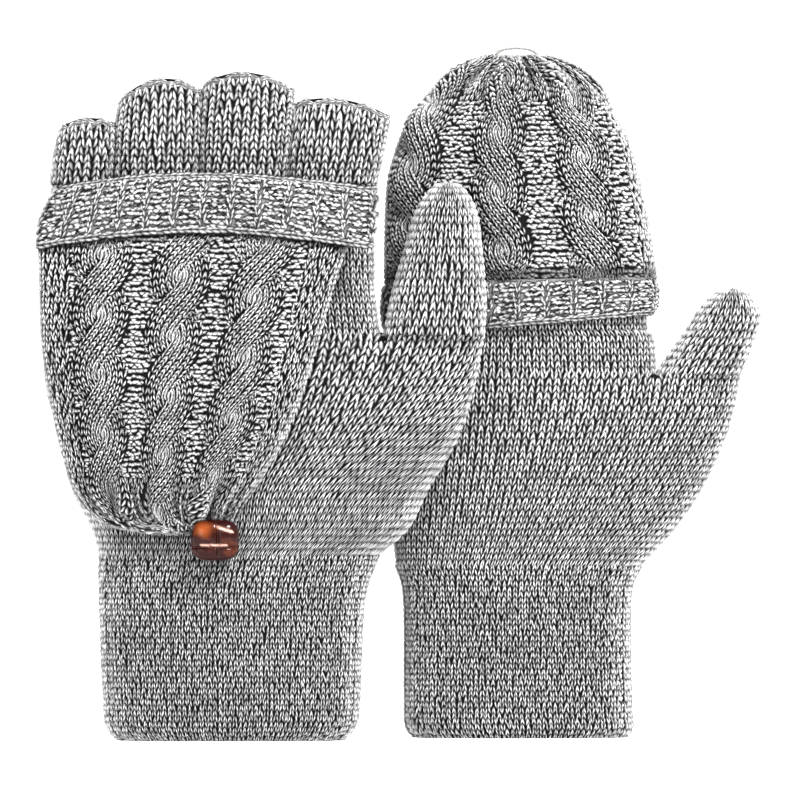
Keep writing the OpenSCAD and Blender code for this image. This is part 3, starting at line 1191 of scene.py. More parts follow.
@dataclass(frozen=True)
class FoldedEdge:
    """How the band of the folded cap lies: bowed up in the middle, with a slanted left end."""

    left: float = -129.0       # x of its left end
    width: float = 118.0
    low: float = 179.2         # z of its lower edge
    height: float = 19.8
    low_bow: tuple[float, float] = (5.4, -2.8)    # mm that the lower edge rises in the middle, and at its ends
    high_bow: tuple[float, float] = (4.8, -1.8)   # the same for the upper edge
    slant: float = 5.5
    slant_share: float = 0.35  # share of the width that slants
    skew: float = 1.02         # above 1, the bow's top lies left of the middle

    def share(self, x: Array) -> Array:
        """Share of the width at x."""
        return np.clip((x - self.left) / self.width, 0, 1)

    def hump(self, x: Array) -> Array:
        """Share of the bow at x."""
        return np.sin(np.pi * np.clip(self.share(x) * self.skew, 0, 1))

    def arch(self, a: Array, b: Array, p: Array) -> Array:
        """Bows the band.

        Args:
            a: Turns round it.
            b: Millimetres along it.
            p: The grid's points.

        Returns:
            How each point moves.
        """
        t, hump = np.clip((p[..., 2] - self.low) / self.height, 0, 1), self.hump(p[..., 0])
        out = np.zeros_like(p)
        for (rise, ends), weight in ((self.low_bow, 1 - t), (self.high_bow, t)):
            out[..., 2] += (rise * hump + ends) * weight
        out[..., 0] = self.slant * t * (1 - smooth_step(self.share(p[..., 0]), 0.0, self.slant_share))
        return out

    def mouth(self, x: Array) -> Array:
        """Height of the edge that lies on the cap, at x."""
        return self.low + self.low_bow[0] * self.hump(x) + self.low_bow[1]


@dataclass(frozen=True)
class PulledEdge:
    """How the band of the pulled-up cap lies: dropping a little towards the little finger."""

    middle: float = 43.0       # x where neither edge moves
    low: float = 149.0         # z of its lower edge
    height: float = 16.0
    low_slope: float = 0.085
    high_slope: float = 0.02

    def arch(self, a: Array, b: Array, p: Array) -> Array:
        """Tilts the band.

        Args:
            a: Turns round it.
            b: Millimetres along it.
            p: The grid's points.

        Returns:
            How each point moves.
        """
        t = np.clip((p[..., 2] - self.low) / self.height, 0, 1)
        out = np.zeros_like(p)
        out[..., 2] = (p[..., 0] - self.middle) * (self.low_slope * (1 - t) + self.high_slope * t)
        return out

    def mouth(self, x: Array) -> Array:
        """Height of the edge that lies on the cap, at x."""
        return self.low + self.height + (x - self.middle) * self.high_slope


@dataclass
class Cap:
    """A mitten cap: cabled palm panel, plain sides and back, rib band, gathered tip."""

    side: Side
    rows: Rows
    band_rows: Rows
    edge: FoldedEdge | PulledEdge
    upward: float                   # +1 where the tip points up, -1 where it hangs
    wales: int
    band_wales: int
    ropes: tuple[float, float, float]
    lean: float                     # +1 or -1: which way the front strands lean
    hinge: tuple[float, float]      # y of the hinge and y where the front panel's share is full; not used
    back_b: tuple[float, float]     # the back panel's ends, as shares of the cap's length
    least_shade: float              # painted light of the knit close under the band
    knit_edge: tuple[float, float]  # turns of plain knit at each side
    front_a: tuple[float, float] = (0.27, 0.73)
    side_a: float = 0.2             # turns from the back's middle to the sides
    side_end: float = 0.985         # share of the cap's length that the sides reach
    band_a: tuple[float, float] = (0.255, 0.745)
    rope_turn: float = 21.5         # mm between crossings
    rope_reach: float = 2.35        # wales that a strand swings to each side
    rope_height: tuple[float, float] = (2.2, 1.5)   # mm at a crossing, and how much more or less over and under
    strand_half: float = 2.75       # half width of a strand, in wales
    strand_course: float = 1.9      # mm per course along a strand
    clear_under: float = 1.7        # ground lower than this is knitted, not roped
    gathers: int = 18
    gather_height: float = 1.9
    gather_reach: tuple[float, float] = (4.0, 32.0)   # mm from the tip where the gathers are full, and where they end
    sink: float = 0.3               # how far the knit lies under the node's face
    rows_mm: float = 2.0
    wale_mm: float = 2.55
    plain_tip: float = 26.0         # mm of plain knit next to the tip
    shadow: tuple[float, float] = (1.6, 5.0)   # mm from the band where its painted shadow is full, and where it ends
    ground_jitter: float = 0.17
    band_course: float = 1.85
    band_roll: float = 1.7          # mm that the band's middle stands over its edges
    band_rib: float = 0.45          # height of its ribs
    band_wall: float = 3.2          # thickness of the folded band
    band_crest: float = 0.42        # painted light of the cloth between its stitches, which is painted as shade
    gap_share: float = 0.62         # share of its purl stitches that have a dark gap painted as shade

    def __post_init__(self) -> None:
        """Works out how long the cap is from tip to mouth."""
        self.length = loft(self.rows).length

    def name(self, part: str) -> str:
        """Name of a CAD node of this cap."""
        return f"{self.side.value}_cap_{part}"

    def from_tip(self, b: Array) -> Array:
        """Millimetres from the tip; b grows from the tip where it hangs, and towards it where it points up."""
        return self.length - b if self.upward > 0 else b

    def fold(self, a: Array) -> Array:
        """Angle of the gathers at a, which aren't quite even."""
        return 2 * np.pi * self.gathers * a + 1.1 * np.sin(14 * np.pi * a)

    def surface(self) -> Surface:
        """The bag of the cap with its gathers at the tip.

        Returns:
            The surface.
        """

        def gather(a: Array, b: Array, p: Array) -> Array:
            """Height of the gathers, which fade away from the tip."""
            near = 1 - smooth_step(self.from_tip(b), *self.gather_reach)
            return near * self.gather_height * np.cos(self.fold(a)) - self.sink

        return loft(self.rows).relief(gather)

    def strand_at(self, b: Array, rope: float, k: int) -> tuple[Array, Array, Array]:
        """Where a strand of a rope runs.

        Args:
            b: Millimetres along.
            rope: Centre of the rope, in turns.
            k: 0 or 1, which strand.

        Returns:
            Its middle in wales, its slope in wales per millimetre, and its height factor.
        """
        turn = math.pi / self.rope_turn
        phase = turn * b + k * math.pi + rope * 9.0
        middle = rope * self.wales + self.lean * self.rope_reach * np.cos(phase)
        slope = -self.lean * self.rope_reach * turn * np.sin(phase)
        return middle, slope, np.sin(phase)

    def strand_height(self, a: Array, b: Array, rope: float, k: int) -> Array:
        """Height of a strand over the ground, and 0 beside it.

        Args:
            a: Turns round the cap.
            b: Millimetres along it.
            rope: Centre of the rope, in turns.
            k: 0 or 1, which strand.

        Returns:
            Millimetres.
        """
        middle, slope, over = self.strand_at(b, rope, k)
        s = (np.mod(a, 1.0) * self.wales - middle) / np.sqrt(1 + (slope * 2.6) ** 2) / self.strand_half
        height, more = self.rope_height
        return (height + more * over) * np.sqrt(np.clip(1 - s * s, 0, 1)) * self.fade(b)

    def fade(self, b: Array) -> Array:
        """Ropes flatten close to the tip and under the band."""
        away = self.from_tip(b)
        at_tip, at_mouth = smooth_step(away, 3.0, 22.0), smooth_step(self.length - away, 5.0, 15.0)
        return (0.45 + 0.55 * at_tip) * (0.15 + 0.85 * at_mouth)

    def ground(self, a: Array, b: Array) -> Array:
        """Height of the highest strand at (a, b)."""
        heights = [self.strand_height(a, b, rope, k) for rope in self.ropes for k in (0, 1)]
        return np.maximum(np.max(heights, axis=0), 0)

    def shade(self, surface: Surface, a: Array, b: Array) -> Array:
        """Painted shade for each stitch: darker under the band, where its shadow falls, and down in the gathers.

        Args:
            surface: The cap.
            a: Turns round it.
            b: Millimetres along it.

        Returns:
            1 where it is fully lit and less where shade is painted.
        """
        place = surface.at(a, b, np.zeros(np.shape(a)))
        under = smooth_step(self.upward * (place[..., 2] - self.edge.mouth(place[..., 0])), *self.shadow)
        near = 1 - smooth_step(self.from_tip(b), 4.0, 34.0)
        deep = 0.5 - 0.5 * np.cos(self.fold(a))
        return (self.least_shade + (1 - self.least_shade) * under) * (1 - 0.8 * near * deep**2)

    def front(self, wardrobe: Wardrobe) -> bpy.types.Object:
        """The palm panel: three ropes of two strands on a purl ground.

        Args:
            wardrobe: The materials.

        Returns:
            The dressed piece.
        """
        parts, surface = MeshParts(), self.surface()
        first, last = (int(round(v * self.wales)) for v in self.front_a)
        low, high = 0.3, surface.length - 0.3
        _, j, a, b = wale_grid(self.wales, first, last, low, high, self.rows_mm)
        clear = self.ground(a, b) < self.clear_under
        edge = (a < self.front_a[0] + self.knit_edge[0]) | (a > self.front_a[1] - self.knit_edge[1])
        edge |= self.from_tip(b) < self.plain_tip
        step = (high - low) / (j.max() + 1)
        for kind, pick, lift, width in ((Stitch.PURL, clear & ~edge, -0.3, 1.25),
                                        (Stitch.KNIT, clear & edge, 0.0, 1.05)):
            ground = Stitches(a[pick], b[pick], np.full(pick.sum(), lift), 1 / self.wales, step, kind=kind,
                              width=width)
            knit(parts, surface, ground, jitter=self.ground_jitter, bright=self.shade(surface, a[pick], b[pick]))
        for rope in self.ropes:
            for k in (0, 1):
                self.strand(parts, surface, rope, k, low, high)
        span = (self.front_a[1] - self.front_a[0]) * self.wales
        shell(parts, surface, self.front_a, (0, surface.length), (int(span * 2.2), int(surface.length / 1.1)),
              -SHELL_DROP - 0.3, -WALL + 0.4, (1, 2), self.ground)
        return self.dress(parts.build(f"{self.name('front')}_knit", wardrobe.knit_set()), "front")

    def strand(self, parts: MeshParts, surface: Surface, rope: float, k: int, low: float, high: float) -> None:
        """Adds the stitches of one strand of a rope, where it lies on top.

        Args:
            parts: Where the geometry goes.
            surface: The cap.
            rope: Centre of the rope, in turns.
            k: Which strand.
            low: Where it starts.
            high: Where it ends.
        """
        b = low
        spots = []
        while b < high:
            middle, slope, _ = self.strand_at(np.array(b), rope, k)
            m = float(slope) * self.wale_mm
            flat = math.sqrt(1 + m * m)
            spots.append((b, float(middle), m, flat))
            b += self.strand_course / flat
        spot = np.array(spots)

        def rise(a: Array, at: Array) -> Array:
            """Height of this strand."""
            return self.strand_height(a, at, rope, k)

        for s in (-2.0, -1.0, 0.0, 1.0, 2.0):
            a = (spot[:, 1] + s / spot[:, 3]) / self.wales
            bb = spot[:, 0] - s * spot[:, 2] * self.wale_mm / spot[:, 3]
            other = self.strand_height(a, bb, rope, 1 - k)
            pick = (rise(a, bb) >= other - 0.25) & (bb > low) & (bb < high)
            m, flat = spot[pick, 2], spot[pick, 3]
            legs = Stitches(a[pick], bb[pick], np.full(pick.sum(), -0.1), 1 / self.wales / flat,
                            self.strand_course / flat, lean_b=-m * self.wale_mm / flat, lift=1.1,
                            lean_a=self.strand_course * m / flat / self.wale_mm / self.wales)
            knit(parts, surface, legs, height=rise, bright=self.shade(surface, a[pick], bb[pick]))

    def plain(self, wardrobe: Wardrobe, part: str, ranges: Sequence[tuple[float, float]],
              b_range: tuple[float, float]) -> bpy.types.Object:
        """A plain knitted panel, or two.

        Args:
            wardrobe: The materials.
            part: Which node.
            ranges: From and to of each panel, in turns.
            b_range: From and to, as shares of the cap's length.

        Returns:
            The dressed piece.
        """
        parts, surface = MeshParts(), self.surface()
        low, high = b_range[0] * surface.length, b_range[1] * surface.length
        for start, stop in ranges:
            first, last = int(round(start * self.wales)), int(round(stop * self.wales))
            _, j, a, b = wale_grid(self.wales, first, last, low + 0.2, high - 0.2, self.rows_mm)
            knit(parts, surface, Stitches(a, b, np.zeros(len(a)), 1 / self.wales, (high - low) / (j.max() + 1)),
                 bright=self.shade(surface, a, b) if part == "sides" else 1.0)
            shell(parts, surface, (start, stop), (low, high), (max(8, last - first), 40),
                  -SHELL_DROP, -WALL + 0.4, (1, 2))
        return self.dress(parts.build(f"{self.name(part)}_knit", wardrobe.knit_set()), part)

    def band(self, wardrobe: Wardrobe) -> bpy.types.Object:
        """The rib band at the mouth: one raised knit wale to three purl ones.

        Args:
            wardrobe: The materials.

        Returns:
            The dressed piece.
        """
        parts, surface = MeshParts(), loft(self.band_rows, levels=60)
        surface.warp(self.edge.arch)
        wales = self.band_wales
        first, last = (int(v * wales) for v in self.band_a)
        i, j, a, b = wale_grid(wales, first, last, 0.2, surface.length - 0.9, self.band_course)
        step = surface.length / (j.max() + 1.5)
        ridge = i % 4 == 0

        def rib(aa: Array, bb: Array) -> Array:
            """Height of the ribs on the rounded band."""
            wave = np.cos(2 * np.pi * (aa * wales - 0.5) / 4)
            roll = self.band_roll * np.sin(np.pi * np.clip(bb / surface.length, 0, 1)) ** 0.5
            return self.band_rib * wave + roll - 0.5

        inside = (b > 1.6) & (b < surface.length - 2.0)
        for kind, pick, lift, width in ((Stitch.KNIT, ridge & inside, 0.3, 1.2), (Stitch.PURL, ~ridge, -0.1, 1.5)):
            column = Stitches(a[pick], b[pick], np.full(pick.sum(), lift), 1 / wales, step, kind=kind, width=width)
            knit(parts, surface, column, height=rib, jitter=0.16)
        # Black dashes with no painted light: painted shade in the gaps between the purl stitches.
        gap = ~ridge & inside & (RNG.random(len(a)) < self.gap_share)
        dashes = Stitches(a[gap], b[gap], np.full(gap.sum(), 0.12), 0.62 / wales, 0.8 * step, lean_b=0.5,
                          kind=Stitch.PURL, width=0.62)
        knit(parts, surface, dashes, height=rib, jitter=0.3, bright=0.0)
        count = last - first
        for at in (0.35, surface.length - 0.45) if self.side is Side.LEFT else (0.35,):
            rim = Stitches((np.arange(first, last) + 0.2) / wales, np.full(count, at), np.full(count, 0.1), 0.0, 0.0,
                           lean_a=1 / wales, lean_b=-2.0, lift=0.5, width=1.7)
            # The rims get a little painted shade.
            knit(parts, surface, rim, height=rib, bright=0.8)
        shell(parts, surface, self.band_a, (0, surface.length), (2 * count, 20), -SHELL_DROP, -self.band_wall, (0, 2),
              rib, crest=self.band_crest)
        return self.dress(parts.build(f"{self.name('band')}_knit", wardrobe.knit_set(True)), "band")

    def tip(self, wardrobe: Wardrobe) -> bpy.types.Object:
        """The drawn-in stitches that close the cap: a ring of gathers round a knot of yarn.

        Args:
            wardrobe: The materials.

        Returns:
            The dressed piece.
        """
        parts = MeshParts()
        low, high = node_box(self.name("tip"))
        centre, half = (low + high) / 2, (high - low) / 2
        turn = np.linspace(0, 2 * np.pi, 90, endpoint=False)
        for ring, (size, lift) in enumerate(((1.0, -0.3), (0.78, 0.15), (0.5, 0.3), (0.2, 0.25))):
            wave = 0.35 * np.cos(turn * (11 - 2 * ring))
            path = np.stack([centre[0] + half[0] * size * np.cos(turn), centre[1] + half[1] * size * np.sin(turn),
                             centre[2] + (lift + wave) * self.upward], 1)
            twisted_cord(parts, path, 1.15 if ring < 3 else 0.9, 2, 0.25, closed=True)
        return self.dress(parts.build(f"{self.name('tip')}_knit", wardrobe.knit_set()), "tip")

    def dress(self, made: bpy.types.Object, part: str) -> bpy.types.Object:
        """Bakes a panel's place into its mesh, and lets it stand for its node.

        Args:
            made: The finished object.
            part: Which node.

        Returns:
            The same object.
        """
        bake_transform(made)
        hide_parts(self.name(part))
        LOG.info("%s: %d faces", made.name, len(made.data.polygons))
        return made

    def build(self, wardrobe: Wardrobe) -> None:
        """Makes every piece of the cap.

        Args:
            wardrobe: The materials.
        """
        self.front(wardrobe)
        self.plain(wardrobe, "back", [(-self.side_a, self.side_a)], self.back_b)
        self.plain(wardrobe, "sides", [(self.side_a, self.front_a[0]), (self.front_a[1], 1 - self.side_a)],
                   (0.0, self.side_end))
        self.band(wardrobe)
        self.tip(wardrobe)


# ---------------------------------------------------------------------------
# Seams, loops and buttons
# ---------------------------------------------------------------------------

@dataclass
class HingeSeam(Piece):
    """The overcast seam that joins a cap to the back of its hand."""

    pitch: float = 2.6

    def make(self, wardrobe: Wardrobe) -> bpy.types.Object:
        """Builds the seam's cord and the stitches over it.

        Args:
            wardrobe: The materials.

        Returns:
            The finished object.
        """
        parts = MeshParts()
        low, high = node_box(self.node)
        middle, radius = (low + high) / 2, (high[2] - low[2]) / 2
        x = np.linspace(low[0] + 0.5, high[0] - 0.5, 60)
        path = np.stack([x, np.full(60, middle[1]), middle[2] + 0.15 * np.sin(x * 1.3)], 1)
        twisted_cord(parts, path, radius * 0.8, 2, 0.2)
        t = np.linspace(-0.9, np.pi + 0.9, 8)
        for k in range(int((high[0] - low[0]) / self.pitch) - 1):
            at = low[0] + 1.5 + k * self.pitch + RNG.normal(0, 0.15)
            wrap = np.stack([at + 0.5 * t, middle[1] + radius * np.cos(t) * 0.95,
                             middle[2] + radius * np.sin(t) * 0.95], 1)
            twisted_cord(parts, wrap, 0.4, 1, 0.0)
        return self.place(parts.build(f"{self.node}_stitches", [wardrobe.lining]))


@dataclass
class Loop(Piece):
    """An elastic loop on the gathered tip."""

    hooked: bool = True     # True where it hangs round a button, False where it stands up
    bead: float = 0.6       # radius of the elastic

    def path(self) -> Array:
        """The middle of the cord, all the way round.

        Returns:
            Points, in millimetres.
        """
        low, high = node_box(self.node)
        mx, my = (low[0] + high[0]) / 2, (low[1] + high[1]) / 2
        half = (high[0] - low[0]) / 2 - self.bead
        if self.hooked:
            t = np.linspace(np.pi, 2 * np.pi, 17)
            top = high[2] - self.bead
            bend = low[2] + self.bead + half
            arc = np.stack([mx + half * np.cos(t), np.full(17, my), bend + half * np.sin(t)], 1)
            leg = np.stack([np.full(7, mx + half), np.full(7, my), np.linspace(bend, top, 9)[1:-1]], 1)
            back = leg[::-1] * [-1, 1, 1] + [2 * mx, 0, 0]
            run = np.stack([np.linspace(mx + half, mx - half, 9), np.full(9, my), np.full(9, top)], 1)
            return np.concatenate([arc, leg, run, back])
        foot, rise = low[2] + self.bead, high[2] - low[2] - 2 * self.bead
        t = np.linspace(0, np.pi, 25)
        arch = np.stack([mx + half * np.cos(t), np.full(25, my), foot + rise * np.sin(t) ** 0.8], 1)
        run = np.stack([np.linspace(mx - half, mx + half, 17)[1:-1], np.full(15, my), np.full(15, foot)], 1)
        return np.concatenate([arch, run])

    def make(self, wardrobe: Wardrobe) -> bpy.types.Object:
        """Builds the covered elastic.

        Args:
            wardrobe: The materials.

        Returns:
            The finished object.
        """
        parts = MeshParts()
        twisted_cord(parts, self.path(), self.bead, 3, 0.35, closed=True)
        return self.place(parts.build(f"{self.node}_elastic", [wardrobe.elastic]))


@dataclass
class Shank(Piece):
    """The column of thread that holds a button."""

    threads: int = 7
    inset: float = 0.45     # how far the threads' middles lie inside the column

    def make(self, wardrobe: Wardrobe) -> bpy.types.Object:
        """Builds the threads side by side, with a wrap round them.

        Args:
            wardrobe: The materials.

        Returns:
            The finished object.
        """
        parts = MeshParts()
        low, high = node_box(self.node)
        mx, mz, radius = (low[0] + high[0]) / 2, (low[2] + high[2]) / 2, (high[0] - low[0]) / 2
        y = np.linspace(low[1], high[1], 6)
        for k in range(self.threads):
            t = 2 * np.pi * k / self.threads
            path = np.stack([mx + (radius - self.inset) * np.cos(t + 0.1 * y), y,
                             mz + (radius - self.inset) * np.sin(t + 0.1 * y)], 1)
            twisted_cord(parts, path, 0.5, 2, 0.4)
        t = np.linspace(0, 6 * np.pi, 60)
        wrap = np.stack([mx + (radius - 0.3) * np.cos(t), np.linspace(y[1], y[-2], 60),
                         mz + (radius - 0.3) * np.sin(t)], 1)
        twisted_cord(parts, wrap, 0.28, 1, 0.0)
        return self.place(parts.build(f"{self.node}_thread", [wardrobe.thread]))


@dataclass
class Button(Piece):
    """A domed button quartered by two sunk seams, with a flat back."""

    facing: float = -1.0       # -1 where the dome faces -Y
    width: float = 17.0
    height: float = 14.6
    cuts: int = 23             # cuts across each face of the block
    roundness: float = 3.2     # exponent of the outline
    skirt: float = 0.42        # share of the depth below the dome
    taper: float = 0.13        # how much the back is narrower
    seam_x: float = 0.9        # mm from the middle
    seam_z: float = -2.6
    seam_width: float = 0.75
    seam_soft: float = 0.45    # how wide the sunk part is
    seam_depth: float = 0.85
    puff: float = 0.35         # how far the quarters swell between the seams
    inset: float = 0.4         # how far the dome stays under its node's face
    shift: tuple[float, float] = (0.0, 0.0)   # mm that it sits off its node's middle

    def block(self) -> bpy.types.Object:
        """Starts the button as a cube of side 1, cut finely and along its seams.

        Returns:
            The cut cube.
        """
        bpy.ops.object.select_all(action="DESELECT")
        bpy.ops.mesh.primitive_cube_add(size=1.0, location=(0, 0, 0))
        made = bpy.context.active_object
        made.name = f"{self.node}_dome"
        bpy.ops.object.mode_set(mode="EDIT")
        bpy.ops.mesh.select_all(action="SELECT")
        bpy.ops.mesh.subdivide(number_cuts=self.cuts)
        for seam, size, axis in ((self.seam_x, self.width, np.array([1, 0, 0])),
                                 (self.seam_z, self.height, np.array([0, 0, 1]))):
            for at in (seam - self.seam_width, seam, seam + self.seam_width):
                bpy.ops.mesh.select_all(action="SELECT")
                bpy.ops.mesh.bisect(plane_co=axis * at / size, plane_no=axis)
        bpy.ops.object.mode_set(mode="OBJECT")
        return made

    def dome(self, spots: Array, depth: float) -> tuple[Array, Array, Array, Array]:
        """Rounds the cube's points into the domed, quartered button.

        Args:
            spots: The cube's points, from -1 to 1.
            depth: Millimetres from the flat back to the node's front.

        Returns:
            x, distance from the back and z of every point, in millimetres, and 1 on the dome or 0 off it.
        """
        u, v, w = spots[:, 0], spots[:, 1] * self.facing, spots[:, 2]
        on_dome = v > 0.999
        reach = np.maximum(np.abs(u) ** self.roundness + np.abs(w) ** self.roundness, 1e-9) ** (1 / self.roundness)
        radial = np.maximum(np.abs(u), np.abs(w))
        square = np.where(reach > 1e-6, radial / np.maximum(reach, 1e-6), 1)
        crown = (1 - np.clip(radial, 0, 1) ** 2.6) ** 0.5
        rise = np.clip((v + 1) / 2, 0, 1)
        y = np.where(on_dome, self.skirt + (1 - self.skirt) * crown, self.skirt * rise)
        pull = np.where(on_dome, 1, 1 - self.taper * (1 - rise) ** 2)
        x, z = u * square * self.width / 2 * pull, w * square * self.height / 2 * pull
        seam = np.exp(-((x - self.seam_x) / self.seam_soft) ** 2) + np.exp(-((z - self.seam_z) / self.seam_soft) ** 2)
        puff = (1 - np.exp(-((x - self.seam_x) / 2.2) ** 2)) * (1 - np.exp(-((z - self.seam_z) / 2.0) ** 2))
        y = y * (depth - self.inset)
        y += np.where(on_dome, self.puff * puff - self.seam_depth * np.clip(seam, 0, 1), 0)
        return x, y, z, np.where(on_dome, 1.0, 0.0)

    def highlights(self, x: Array, z: Array, front: Array) -> dict[str, Array]:
        """Works out the painted highlights: an amber patch at the upper left and pale glints along a seam and the
        upper edge.

        Args:
            x: Millimetres to the right of the middle.
            z: Millimetres above it.
            front: 1 on the dome and 0 off it.

        Returns:
            The values of each attribute, by name.
        """
        amber_highlight = np.exp(-((x + 4.0) / 3.2) ** 2 - ((z - 3.6) / 2.6) ** 2)
        # Painted glint along the sunk horizontal seam.
        ridge = np.exp(-((z - self.seam_z - 0.75) / 0.35) ** 2) * (np.abs(x + 0.6) < 4.8)
        # Painted highlight along the upper edge.
        shine = np.exp(-((z - 4.6 + 0.32 * (x - 1)) / 0.45) ** 2) * smooth_step(x, 0.2, 1.4) * (x < 6.2)
        return {"amber_highlight": front * amber_highlight, "glint": front * np.clip(0.8 * ridge + shine, 0, 1)}

    def make(self, wardrobe: Wardrobe) -> bpy.types.Object:
        """Rounds the block into a dome, sinks its seams and flattens its back.

        Args:
            wardrobe: The materials.

        Returns:
            The finished object.
        """
        low, high = node_box(self.node)
        middle = (low + high) / 2
        flat = high[1] if self.facing < 0 else low[1]
        made = self.block()
        mesh = made.data
        spots = np.empty(len(mesh.vertices) * 3)
        mesh.vertices.foreach_get("co", spots)
        x, y, z, front = self.dome(spots.reshape(-1, 3) * 2, high[1] - low[1])
        done = np.stack([middle[0] + self.shift[0] + x, flat + self.facing * y, middle[2] + self.shift[1] + z], 1)
        for label, values in self.highlights(x, z, front).items():
            mesh.attributes.new(label, "FLOAT", "POINT").data.foreach_set("value", values)
        mesh.vertices.foreach_set("co", (done / MM).ravel())
        mesh.update()
        bpy.ops.object.mode_set(mode="EDIT")
        bpy.ops.mesh.select_all(action="SELECT")
        bpy.ops.mesh.remove_doubles(threshold=0.000002)
        bpy.ops.mesh.normals_make_consistent(inside=False)
        bpy.ops.object.mode_set(mode="OBJECT")
        bpy.ops.object.shade_smooth()
        made.data.materials.append(wardrobe.leather)
        return self.place(made)


# ---------------------------------------------------------------------------
# The pair
# ---------------------------------------------------------------------------

@dataclass
class Mitten:
    """One mitten without its cap."""

    side: Side
    cuff_wales: int
    hand_wales: int
    knuckle_wales: int
    thumb_wales: int
    hand_course: float
    thumb_sweep: float      # turns that the gusset's wales lean
    split_low: float        # z at which hand and thumb start to part
    finger_pitch: float     # mm per wale of the half fingers
    tops: dict[str, tuple[float, float, float]]   # how each half finger's top stands up
    facing: float           # -1 where the button faces -Y
    swell: float            # mm that the knit stands over its nodes
    button_shift: tuple[float, float] = (0.0, 0.0)
    loop_hooked: bool = False

    def node(self, part: str) -> str:
        """Name of one of this mitten's CAD nodes."""
        return f"{self.side.value}_{part}"

    def tubes(self) -> list[KnitTube]:
        """The cuff, the hand, the knuckles and the thumb."""
        body = self.node("mitten")
        return [
            KnitTube(self.node("cuff"), body, "rib_yarn", self.cuff_wales, rib_depth=0.5, jitter=0.1,
                     top_inset=-0.5, swell=self.swell),
            Hand(self.node("hand"), body, "yarn", self.hand_wales, self.hand_course, split_low=self.split_low,
                 thumb_sweep=self.thumb_sweep, top_inset=-0.8, swell=self.swell),
            KnitTube(self.node("knuckles"), body, "yarn", self.knuckle_wales, 2.3, swell=self.swell),
            Thumb(self.node("thumb"), body, "yarn", self.thumb_wales, 2.9, yarn_width=1.05, jitter=0.08,
                  swell=self.swell),
        ]

    def fingers(self) -> list[Finger]:
        """The four half fingers.

        Returns:
            The fingers, from the little one to the index finger.
        """
        made = []
        for name, tops in self.tops.items():
            low, high = node_box(self.node(f"{name}_finger"))
            round_mm = FINGER_ROUND * ((high[0] - low[0]) + (high[1] - low[1]))
            made.append(Finger(self.node(f"{name}_finger"), self.node("mitten"), "yarn",
                               int(round_mm / self.finger_pitch), 2.5, squareness=2.3, top_inset=1.6,
                               yarn_width=1.12, jitter=0.08, tops=tops))
        return made

    def build(self, wardrobe: Wardrobe) -> None:
        """Makes every piece of the mitten but its cap.

        Args:
            wardrobe: The materials.
        """
        body = self.node("mitten")
        fingers = self.fingers()
        for tube in [*self.tubes(), *fingers]:
            tube.make(wardrobe)
        FingerEdges(self.node("finger_edges"), body, "rib_yarn", fingers).make(wardrobe)
        HingeSeam(self.node("hinge_seam"), body, "rib_yarn").make(wardrobe)
        Shank(self.node("button_shank"), body, "thread").make(wardrobe)
        Button(self.node("button"), self.node("button"), "leather", self.facing,
               shift=self.button_shift).make(wardrobe)
        Loop(self.node("loop"), self.node("loop"), "elastic", self.loop_hooked).make(wardrobe)


def left_mitten() -> Mitten:
    """The mitten that shows its back."""
    tops = {"little": (-2.7, 1.6, 0.2), "ring": (-5.0, 3.6, 0.0), "middle": (-2.5, 1.5, -4.0),
            "index": (2.0, 3.6, -2.0)}
    return Mitten(Side.LEFT, cuff_wales=116, hand_wales=144, knuckle_wales=105, thumb_wales=33, hand_course=2.8,
                  thumb_sweep=0.14, split_low=138.0, finger_pitch=3.6, tops=tops, facing=-1.0, swell=-0.35,
                  button_shift=(1.2, 0.6), loop_hooked=True)


def right_mitten() -> Mitten:
    """The mitten that shows its palm."""
    tops = {name: (-1.5, 0.5, -1.5) for name in ("little", "ring", "middle", "index")}
    return Mitten(Side.RIGHT, cuff_wales=95, hand_wales=104, knuckle_wales=84, thumb_wales=28, hand_course=2.4,
                  thumb_sweep=0.04, split_low=124.0, finger_pitch=3.2, tops=tops, facing=1.0, swell=0.45)


def left_cap() -> Cap:
    """The cap folded down on the back of the left mitten.

    Returns:
        The cap, whose tip hangs.
    """
    y = LEFT_Y - HINGE_OFF

    def row(z: float, left: float, right: float, depth: float) -> tuple[float, ...]:
        """A section that lies against the hand's back."""
        return (z, left, right, y - depth, y)

    rows = [row(75.5, -90, -61, 3.6), row(78, -105, -59, 4.2), row(80.5, -109.5, -57.8, 5.2), row(85, -114, -55.5, 8),
            row(92, -118, -50.5, 10.5), row(98, -119.5, -47, 11.8), row(107, -122, -42, 12.8),
            row(122, -125, -35.8, 14), row(140, -127.8, -30, 14), row(158, -128.6, -25, 13.6),
            row(179, -129, -18.5, 12.4), row(184, -128.6, -17, 11.6)]
    band = [row(179.2, -129.6, -10, 13.4), row(189, -129, -9.5, 12.6), row(199, -127, -8.5, 11.2)]
    return Cap(Side.LEFT, rows, band, FoldedEdge(), upward=-1.0, wales=98, band_wales=98,
               ropes=(0.360, 0.4885, 0.615), lean=-1.0, hinge=(y, y - 14), back_b=(0.12, 0.8), least_shade=0.12,
               knit_edge=(0.035, 0.05))


